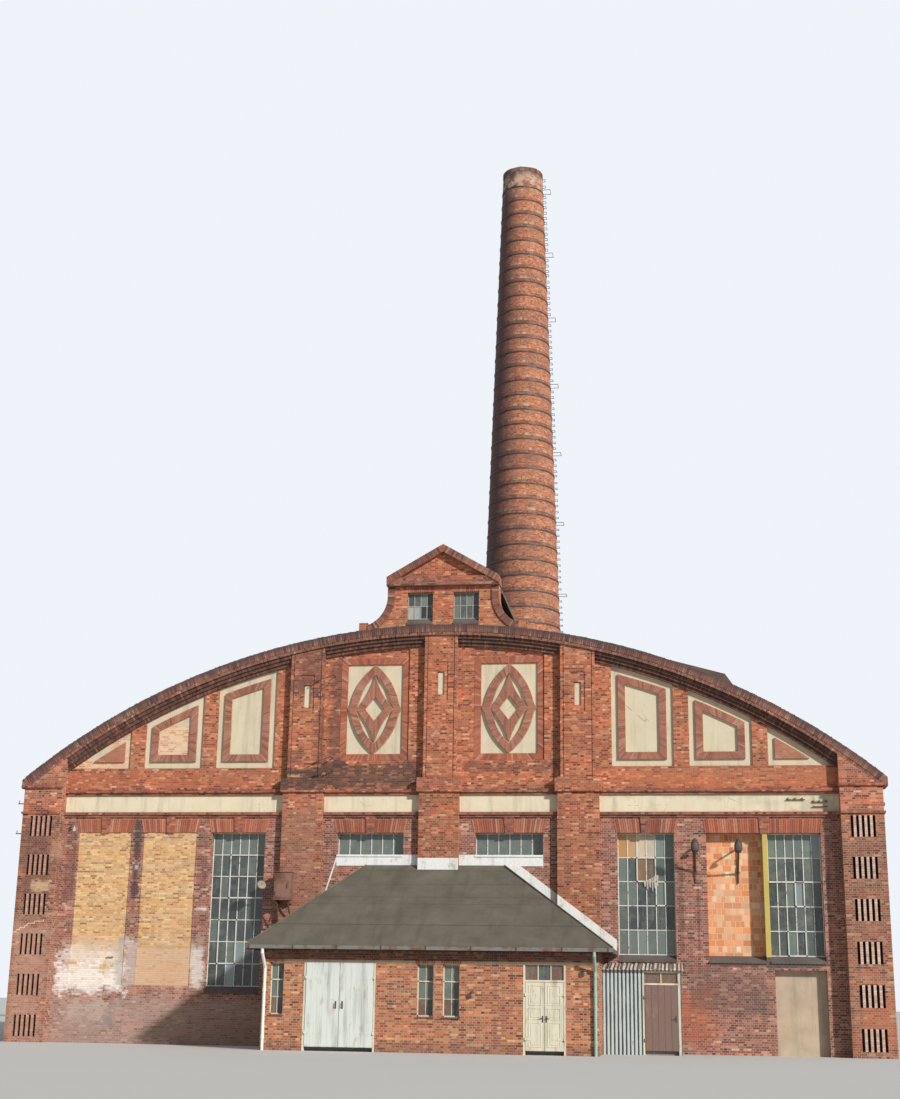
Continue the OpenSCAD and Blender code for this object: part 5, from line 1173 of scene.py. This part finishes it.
def window_panes():
    """Every pane of the steel windows, some of them clouded, painted or mended, and some
    lighter as a painted reflection.
    """
    mesh = brick_mesh()
    glass = 0.162
    # Left window: the top row lighter as a painted reflection, and a few other panes with
    # tones of their own
    left_tones_with_reflection = {(i, 6): 0.57 + 0.04 * (i % 2) for i in range(6)}
    left_tones_with_reflection.update({(2, 1): 0.58, (3, 1): 0.66, (2, 0): 0.7, (4, 5): 0.54, (0, 5): 0.52})
    painted = {(0, 4): 0.9, (1, 4): 0.87, (2, 4): 0.8, (3, 4): 0.78, (4, 4): 0.64,
               (5, 4): 0.58, (0, 3): 0.6, (1, 3): 0.5, (2, 3): 0.98, (3, 3): 1.0,
               (4, 3): 0.54, (4, 2): 0.62, (0, 2): 0.58, (5, 2): 0.56}
    painted.update({(i, 0): 0.58 + 0.03 * (i % 3) for i in range(6)})
    clouded = {(5, 4): 0.68, (0, 4): 0.6, (1, 4): 0.58, (2, 4): 0.57, (3, 4): 0.59,
               (4, 4): 0.6, (3, 2): 0.66, (2, 2): 0.6, (3, 1): 0.54, (2, 0): 0.6, (5, 3): 0.6}
    for (x0, x1), sill, rows, tones in ((LEFT_WINDOWS[2], TALL_SILL_Z, 7, left_tones_with_reflection),
                                        (RIGHT_WINDOWS[0], RIGHT_SILL_Z, 5, painted),
                                        (RIGHT_WINDOWS[2], RIGHT_SILL_Z, 5, clouded)):
        pane_sheets(mesh, x0, x1, sill, HEAD_Z, 6, rows, glass, FRONT, tones)
    for x0, x1 in MID_WINDOWS:
        tones = {(i, 0): 0.56 + 0.08 * chance.random() for i in range(6)}
        pane_sheets(mesh, x0, x1, MID_SILL_Z, HEAD_Z, 6, 1, glass, FRONT, tones)
    finish_piece("hall_front_panes", mesh, PANES)
    mesh = brick_mesh()
    gablet_tones = (
        {(0, 0): 0.75, (1, 0): 0.73, (2, 0): 0.05, (3, 0): 0.05, (0, 1): 0.4, (1, 1): 0.45,
         (2, 1): 0.62, (3, 1): 0.1},
        {(0, 0): 0.6, (1, 0): 0.48, (2, 0): 0.44, (3, 0): 0.0, (0, 1): 0.56, (1, 1): 0.5,
         (2, 1): 0.58, (3, 1): 0.2})
    for place in (FRONT, REAR):
        for x0, tones in zip(GABLET_WINDOWS, gablet_tones):
            pane_sheets(mesh, x0, x0 + GABLET_WIDE, 7.615, GABLET_HEAD, 4, 2, 0.102, place,
                        tones)
    finish_piece("gablet_panes", mesh, PANES)
    mesh = brick_mesh()
    for place in SIDE_PLACES:
        pane_sheets(mesh, -SIDE_HALF, SIDE_HALF, TALL_SILL_Z, HEAD_Z, 6, 8, 0.112, place)
    for x0, x1 in REAR_WINDOWS:
        pane_sheets(mesh, x0, x1, TALL_SILL_Z, HEAD_Z, 6, 8, glass, REAR)
    finish_piece("side_and_rear_panes", mesh, PANES)
    mesh = brick_mesh()
    for x0, width in ANNEX_WINDOWS:
        pane_sheets(mesh, x0, x0 + width, ANNEX_SILL, ANNEX_HEAD, 2, 3, 0.092, ANNEX,
                    {(0, 2): 0.6, (0, 1): 0.58, (0, 0): 1.0, (1, 0): 0.3})
    finish_piece("annex_panes", mesh, PANES)


def glazing_bars():
    """The thinner bars of the side and rear windows, between those of the solids."""
    mesh = bmesh.new()
    for x0, x1, glass, place in (
            *((-SIDE_HALF, SIDE_HALF, 0.1, place) for place in SIDE_PLACES),
            *((x0, x1, 0.15, REAR) for x0, x1 in REAR_WINDOWS)):
        pitch_x = (x1 - x0 - BAR) / 6
        pitch_z = (HEAD_Z - TALL_SILL_Z - BAR) / 8
        for i in (1, 2, 4, 5):
            left = x0 + i * pitch_x
            box(mesh, (left + 0.001, glass + 0.003, TALL_SILL_Z + 0.01),
                (left + BAR - 0.001, glass + 0.02, HEAD_Z - 0.01), place)
        for j in (1, 2, 3, 5, 6, 7):
            low = TALL_SILL_Z + j * pitch_z
            box(mesh, (x0 + 0.01, glass + 0.004, low + 0.001),
                (x1 - 0.01, glass + 0.02, low + BAR - 0.001), place)
    finish_piece("side_and_rear_glazing_bars", mesh, BAR_PAINT)


def casements():
    """Opening lights in the tall steel windows, one of them with torn strips of putty."""
    mesh = bmesh.new()
    for (x0, x1), sill, rows, opened in (
            (LEFT_WINDOWS[2], TALL_SILL_Z, 7, [(2, 5, 4, 6), (1, 2, 1, 3)]),
            (RIGHT_WINDOWS[0], RIGHT_SILL_Z, 5, [(2, 3, 3, 4), (4, 4, 2, 3)]),
            (RIGHT_WINDOWS[2], RIGHT_SILL_Z, 5, [(0, 5, 3, 5), (2, 3, 0, 1), (3, 3, 2, 3)])):
        pitch_x = (x1 - x0 - BAR) / 6
        pitch_z = (HEAD_Z - sill - BAR) / rows
        for first, last, foot, head in opened:
            left, right = x0 + first * pitch_x, x0 + (last + 1) * pitch_x + BAR
            low, high = sill + foot * pitch_z, sill + head * pitch_z + BAR
            for a, b, c, d in ((left, low, right, low + 0.024),
                               (left, high - 0.02, right, high),
                               (left, low, left + 0.02, high),
                               (right - 0.02, low, right, high)):
                box(mesh, (a, 0.138, b), (c, 0.151, d), FRONT)
    finish_piece("steel_casements", mesh, BAR_PAINT)
    mesh = brick_mesh()
    x0, foot = RIGHT_WINDOWS[0][0] + 0.45, 2.82
    for i, (length, tone) in enumerate(((0.05, 0.8), (0.11, 0.76), (0.07, 0.8), (0.14, 0.74),
                                        (0.09, 0.78), (0.04, 0.8))):
        left, top = x0 + i * 0.043, foot + 0.05 + 0.02 * i
        tint(mesh, prism(mesh, [(left, top), (left + 0.038, top), (left + 0.03, foot - length),
                                (left + 0.008, foot - length * 0.6)], 0.004,
                         FRONT @ shift(0, 0.13 + 0.0006 * i, 0)), tone)
    finish_piece("torn_putty_strips", mesh, PANES)


def window_post():
    """Yellow boards round the post between two windows, and pale sills by the pilasters."""
    mesh = bmesh.new()
    box(mesh, (5.645, -0.008, 1.6), (5.726, 0.004, HEAD_Z), FRONT)
    box(mesh, (5.6405, -0.004, RIGHT_SILL_Z), (5.647, 0.12, HEAD_Z), FRONT)
    box(mesh, (5.7225, -0.004, RIGHT_SILL_Z), (5.729, 0.145, HEAD_Z), FRONT)
    finish_piece("yellow_window_post", mesh, YELLOW_POST, round_edges=0.002)
    mesh = bmesh.new()
    for x0, x1 in MID_WINDOWS:
        sloped_sill(mesh, (x0, -0.03, MID_SILL_Z - 0.035), (x1, 0.14, MID_SILL_Z + 0.002),
                    FRONT)
    finish_piece("white_strip_sills", mesh, WHITE_METAL)


# Roofs and metalwork

def annex_eaves():
    """Dark fascia, soffit boards and verges of the annex, and the strip over its doors."""
    mesh = bmesh.new()
    x0, x1 = ANNEX_EAVES
    box(mesh, (x0 + 0.01, -0.235, 1.59), (x1 - 0.01, -0.216, 1.65), ANNEX)
    for i in range(3):
        back = -0.21 + i * 0.07
        box(mesh, (x0 + 0.02, back, 1.572 + 0.002 * i), (x1 - 0.02, back + 0.066, 1.586),
            ANNEX)
    for side in (x0 + 0.01, x1 - 0.03):
        box(mesh, (side, -0.22, 1.58), (side + 0.02, 1.99, 1.64), ANNEX)
    finish_piece("annex_eaves_boards", mesh, DARK_BOARD)
    mesh = bmesh.new()
    box(mesh, (-2.6, -0.004, 1.385), (2.9, 0.001, 1.43), ANNEX)
    finish_piece("annex_lintel_strip", mesh, GREY_COAT)


def felt_laps():
    """Raised laps on the annex roof and rolls along its hips."""
    mesh = bmesh.new()
    eaves_y, eaves_z = -8.94, 1.66
    rise, run = 3.125 - eaves_z, 2.24
    for i in range(1, 4):
        share = i / 4
        left, right = (low + (high - low) * share
                       for low, high in zip(ANNEX_EAVES, ANNEX_RIDGE))
        made = box(mesh, (left + 0.02, -0.03, -0.002), (right - 0.02, 0.03, 0.004))
        moved_by(mesh, made, shift(0, eaves_y + run * share, eaves_z + rise * share)
                 @ turned(math.atan2(rise, run), "X"))
    for x_low, x_high in zip(ANNEX_EAVES, ANNEX_RIDGE):
        rod(mesh, (x_low, eaves_y, 1.663), (x_high, -6.74, 3.115), 0.013, 8)
    finish_piece("annex_felt_laps", mesh, ANNEX_FELT)


def gutter_brackets():
    """Flat hooks that hold the annex gutter."""
    mesh = bmesh.new()
    for i in range(9):
        x = -2.78 + i * 0.73
        box(mesh, (x, -0.305, 1.586), (x + 0.018, -0.236, 1.592), ANNEX)
        box(mesh, (x, -0.309, 1.586), (x + 0.018, -0.301, 1.652), ANNEX)
    finish_piece("gutter_brackets", mesh, RUSTY_IRON)


def rooflight_ribs():
    """Glazing ribs and ridge rolls over the raised rooflights."""
    mesh, rolls = bmesh.new(), bmesh.new()
    inner, knee, outer = ((x, arc_height(ROOF_R, x) + up)
                          for x, up in ((2.37, 0.9), (5.18, 1.075), (5.475, 0.8)))
    foot, half_long = arc_height(ROOF_R, inner[0]), 3.96
    for sign in (-1, 1):
        for i in range(12):
            y = half_long * (2 * i / 11 - 1)
            for a, b in ((inner, knee), (knee, outer)):
                rod(mesh, (sign * a[0], y, a[1] + 0.002), (sign * b[0], y, b[1] + 0.002),
                    0.011, 6)
            box(mesh, (sign * 2.362 - 0.012, y - 0.02, foot + 0.02),
                (sign * 2.362 + 0.012, y + 0.02, inner[1]))
        for x, z in (inner, knee, outer):
            rod(rolls, (sign * x, -half_long - 0.015, z), (sign * x, half_long + 0.015, z),
                0.016, 8)
    finish_piece("rooflight_ribs", mesh, RUSTY_IRON)
    finish_piece("rooflight_ridge_rolls", rolls, GUTTER_METAL)


def lantern_louvres():
    """Sloped boards and posts along both sides of the ridge lantern."""
    mesh = bmesh.new()
    low, half_long = arc_height(ROOF_R, 0.95) + 0.12, 6.36
    for sign in (-1, 1):
        x = sign * 0.962
        for i in range(13):
            y = half_long * (i - 6) / 6
            box(mesh, (x - 0.014, y - 0.03, low - 0.1), (x + 0.014, y + 0.03, 8.2))
        for j in range(8):
            box(mesh, (-0.012, -6.34, -0.045), (0.012, 6.34, 0.045),
                shift(x, 0, low + 0.02 + j * 0.115) @ turned(sign * -0.35, "Y"))
    finish_piece("lantern_louvres", mesh, DARK_BOARD)


def chimney_details():
    """Bolts on the closing blocks of the hoops, and a worn course of rim bricks."""
    mesh = bmesh.new()
    turn = math.radians(-115)
    for i in range(1, HOOPS_ABOVE + 1):
        z = HOOP_Z + i * HOOP_PITCH + 0.018
        reach = SHAFT_R - CHIMNEY_SLOPE * z + 0.036
        for lift in (-0.012, 0.012):
            a = Vector((math.cos(turn) * reach, math.sin(turn) * reach + CHIMNEY_Y, z + lift))
            rod(mesh, a, a + Vector((math.sin(turn), -math.cos(turn), 0)) * 0.045, 0.006, 6)
    finish_piece("hoop_bolts", mesh, RUSTY_IRON)
    mesh = brick_mesh()
    radius = SHAFT_R - CHIMNEY_SLOPE * 24.9
    count = int(2 * math.pi * radius / 0.066)
    for i in range(count):
        at = shift(0, CHIMNEY_Y, 0) @ turned(2 * math.pi * i / count, "Z")
        high = CHIMNEY_TOP + chance.choice((0.0, 0.004, 0.008))
        tint(mesh, box(mesh, (-0.03, -radius - 0.006 - chance.uniform(0, 0.004), 24.87),
                       (0.03, -radius + 0.05, high), at))
    finish_piece("chimney_rim_bricks", mesh, COPING_BRICK)


def wall_ironwork():
    """Brackets with insulators on the frieze and hooks on the pilaster and pier."""
    mesh = bmesh.new()
    for x0, x1, z in ((6.08, 6.4, 4.25), (6.52, 6.78, 4.21), (6.52, 6.78, 4.13)):
        box(mesh, (x0, -0.03, z), (x1, -0.018, z + 0.014), FRONT)
        for x in (x0 + 0.03, x1 - 0.03):
            rod(mesh, (x, FRONT_Y, z + 0.007), (x, FRONT_Y - 0.03, z + 0.007), 0.006, 8)
    for z in (6.45, 4.95, 4.72):
        hook = [(-2.22, FRONT_Y - 0.12, z), (-2.36, FRONT_Y - 0.2, z - 0.06),
                (-1.98, FRONT_Y - 0.2, z + 0.08), (-1.98, FRONT_Y, z + 0.08)]
        for start, end in zip(hook, hook[1:]):
            rod(mesh, start, end, 0.008, 8)
    for z in (4.195, 3.65):
        rod(mesh, (-7.69, -6.86, z), (-7.84, -6.86, z), 0.009, 8)
        rod(mesh, (-7.82, -6.86, z - 0.01), (-7.82, -6.86, z + 0.06), 0.007, 8)
    finish_piece("wall_brackets", mesh, RUSTY_IRON)
    mesh = bmesh.new()
    y = FRONT_Y - 0.024
    for z, row in ((4.262, (6.12, 6.24, 6.36)), (4.222, (6.55, 6.65, 6.75))):
        for x in row:
            rod(mesh, (x, y, z), (x, y, z + 0.035), 0.016, 10, 0.01)
    for z in (3.8, 3.76):
        rod(mesh, (-6.83, FRONT_Y, z), (-6.83, FRONT_Y - 0.05, z), 0.02, 10, 0.012)
    finish_piece("insulators", mesh, LAMP_WHITE)


def wall_lamps():
    """Oval lamps on short struts, the cabinet's floodlight and two small annex lamps."""
    shells, bowls, smoked = bmesh.new(), bmesh.new(), bmesh.new()
    shell = [(0.012, 0.15), (0.03, 0.13), (0.056, 0.08), (0.07, 0.02), (0.068, -0.05),
             (0.05, -0.1), (0.012, -0.125)]
    bowl = [(0.008, 0.09), (0.04, 0.05), (0.056, 0.0), (0.05, -0.05), (0.008, -0.085)]
    lean = turned(math.radians(28), "X")
    for x, wall in ((4.488, FRONT_Y), (5.223, FRONT_Y + 0.2)):
        rod(shells, (x, wall - 0.02, 3.02), (x, FRONT_Y - 0.33, 3.33), 0.017, 10)
        rod(shells, (x, wall, 3.02), (x, wall - 0.03, 3.02), 0.03, 10)
        rod(shells, (x, wall - 0.012, 2.84), (x, wall - 0.012, 3.12), 0.012, 8, 0.02)
        head = shift(x, FRONT_Y - 0.39, 3.42)
        lathed(shells, shell, head @ lean @ Matrix.Diagonal((1, 0.62, 1, 1)))
        lathed(smoked, bowl, head @ shift(0, -0.026, -0.006) @ lean
               @ Matrix.Diagonal((1, 0.5, 1, 1)))
    flood = (shift(-3.14, FRONT_Y - 0.3, 2.72) @ turned(math.radians(62), "X")
             @ turned(0.5, "Y"))
    lathed(shells, [(0.01, -0.07), (0.05, -0.05), (0.085, 0.01), (0.09, 0.04), (0.01, 0.05)],
           flood)
    rod(shells, (-2.89, FRONT_Y - 0.25, 2.7), (-3.11, FRONT_Y - 0.27, 2.7), 0.013, 8)
    lathed(bowls, [(0.01, 0.04), (0.08, 0.045), (0.078, 0.058), (0.01, 0.066)], flood)
    for x, z in ((2.68, 1.27), (0.876, 0.91)):
        at = shift(x, ANNEX_Y - 0.05, z)
        lathed(bowls, [(0.006, -0.04), (0.028, -0.03), (0.036, 0.0), (0.022, 0.03),
                       (0.006, 0.034)], at)
        rod(shells, (x, ANNEX_Y + 0.001, z + 0.05), (x, ANNEX_Y - 0.055, z + 0.04), 0.012, 8)
        lathed(shells, [(0.006, 0.055), (0.03, 0.045), (0.04, 0.02), (0.03, 0.022)], at)
    finish_piece("lamp_shells", shells, RUSTY_IRON)
    finish_piece("lamp_bowls", bowls, LAMP_WHITE)
    finish_piece("street_lamp_bowls", smoked, SMOKED_BOWL)


def pier_crack():
    """Pale mended crack that steps up the left corner pier along the joints."""
    mesh = bmesh.new()
    x, z = -7.7, 1.884
    for width, rises in ((0.07, True), (0.06, True), (0.09, True), (0.05, True),
                         (0.06, False), (0.07, True), (0.08, False), (0.09, True)):
        box(mesh, (x, -0.2525, z), (x + width, -0.248, z + 0.013), FRONT)
        x += width
        if rises:
            box(mesh, (x - 0.012, -0.2525, z + 0.013), (x, -0.248, z + COURSE), FRONT)
            z += COURSE
    finish_piece("pier_crack_mortar", mesh, CREAM)


def cabinet_details():
    """Door, hinges, lock, splayed struts and shelf of the cabinet on the left pilaster."""
    mesh = bmesh.new()
    y = FRONT_Y - 0.33
    box(mesh, (-2.872, y - 0.006, 2.5), (-2.608, y + 0.001, 2.94))
    box(mesh, (-2.85, y - 0.011, 2.522), (-2.63, y - 0.003, 2.918))
    finish_piece("cabinet_door", mesh, BROWN_METAL, round_edges=0.002)
    mesh = bmesh.new()
    for z in (2.6, 2.84):
        rod(mesh, (-2.868, y - 0.01, z - 0.03), (-2.868, y - 0.01, z + 0.03), 0.007, 8)
    box(mesh, (-2.66, y - 0.02, 2.68), (-2.644, y - 0.01, 2.75))
    for top_x, foot_x, foot_z in ((-2.86, -3.0, 2.1), (-2.84, -2.84, 2.02),
                                  (-2.64, -2.6, 2.08)):
        rod(mesh, (top_x, FRONT_Y - 0.3, 2.44), (foot_x, FRONT_Y - 0.14, foot_z), 0.015, 6)
    box(mesh, (-3.02, FRONT_Y - 0.15, 2.06), (-2.58, FRONT_Y - 0.128, 2.085))
    finish_piece("cabinet_ironwork", mesh, RUSTY_IRON)


for build in (window_arches, coping_bricks, gablet_edging, field_rings, lozenge_bricks,
              mid_frames, pilaster_slot_backs, pier_fins, transoms, annex_frames,
              window_panes, glazing_bars, casements, window_post, annex_eaves, felt_laps,
              gutter_brackets, rooflight_ribs, lantern_louvres, chimney_details,
              wall_ironwork, wall_lamps, pier_crack, cabinet_details, porch_leaf):
    build()
yard_leaf("yard_left", -1.862, -1.31)
yard_leaf("yard_right", -1.3, -0.748)
entrance_leaf("entrance_left", 1.733, 2.03)
entrance_leaf("entrance_right", 2.04, 2.337)


# Stage, light and camera

def plain_floor():
    """Plain pale floor under the building."""
    mesh = bmesh.new()
    bmesh.ops.create_grid(mesh, x_segments=1, y_segments=1, size=400.0)
    data = bpy.data.meshes.new("floor")
    mesh.to_mesh(data)
    mesh.free()
    floor = bpy.data.objects.new("floor", data)
    bpy.context.scene.collection.objects.link(floor)
    material, tree = start_finish("pale_floor")
    colour = blend(clouds(place_in(tree), 0.2), (0.56, 0.56, 0.54), (0.6, 0.6, 0.58))
    data.materials.append(close_finish(material, colour, 0.95))


def studio_light():
    """Soft key from the upper left and an even pale surrounding."""
    lamp = bpy.data.lights.new("key", "SUN")
    lamp.energy = 3.85
    lamp.angle = math.radians(3)
    lamp.color = (1.0, 0.975, 0.94)
    key = bpy.data.objects.new("key", lamp)
    key.rotation_euler = Vector((-1.12, 1.0, -0.69)).to_track_quat("-Z", "Y").to_euler()
    bpy.context.scene.collection.objects.link(key)
    world = bpy.data.worlds.new("surround")
    bpy.context.scene.world = world
    world.use_nodes = True
    tree = world.node_tree
    light = tree.nodes["Background"]
    feed(light.inputs["Color"], (0.92, 0.95, 1.0))
    feed(light.inputs["Strength"], 0.3)
    seen = add_node(tree, "Background", {"Color": (0.86, 0.9, 0.95), "Strength": 1.0})
    path = add_node(tree, "LightPath").outputs
    straight = calc("MAXIMUM", path["Is Camera Ray"],
                    calc("MAXIMUM", path["Is Transmission Ray"], path["Is Glossy Ray"]))
    mixed = add_node(tree, "MixShader", {0: straight, 1: light.outputs[0],
                                         2: seen.outputs[0]})
    tree.links.new(mixed.outputs[0], tree.nodes["World Output"].inputs["Surface"])


def photo_camera():
    """Camera at eye height before the front, turned up a little."""
    lens = bpy.data.cameras.new("photo_camera")
    lens.sensor_fit = "AUTO"
    lens.sensor_width = 36.0
    lens.lens = 52.39
    lens.clip_end = 1500.0
    camera = bpy.data.objects.new("photo_camera", lens)
    turn, tilt, roll = (math.radians(angle) for angle in (8.19, 105.78, 0.88))
    camera.rotation_euler = (turned(turn, "Z") @ turned(tilt, "X")
                             @ turned(roll, "Z")).to_euler()
    camera.location = (4.21, -35.16, 0.8)
    bpy.context.scene.collection.objects.link(camera)
    bpy.context.scene.camera = camera


plain_floor()
studio_light()
photo_camera()
bpy.context.scene.view_settings.view_transform = "Standard"
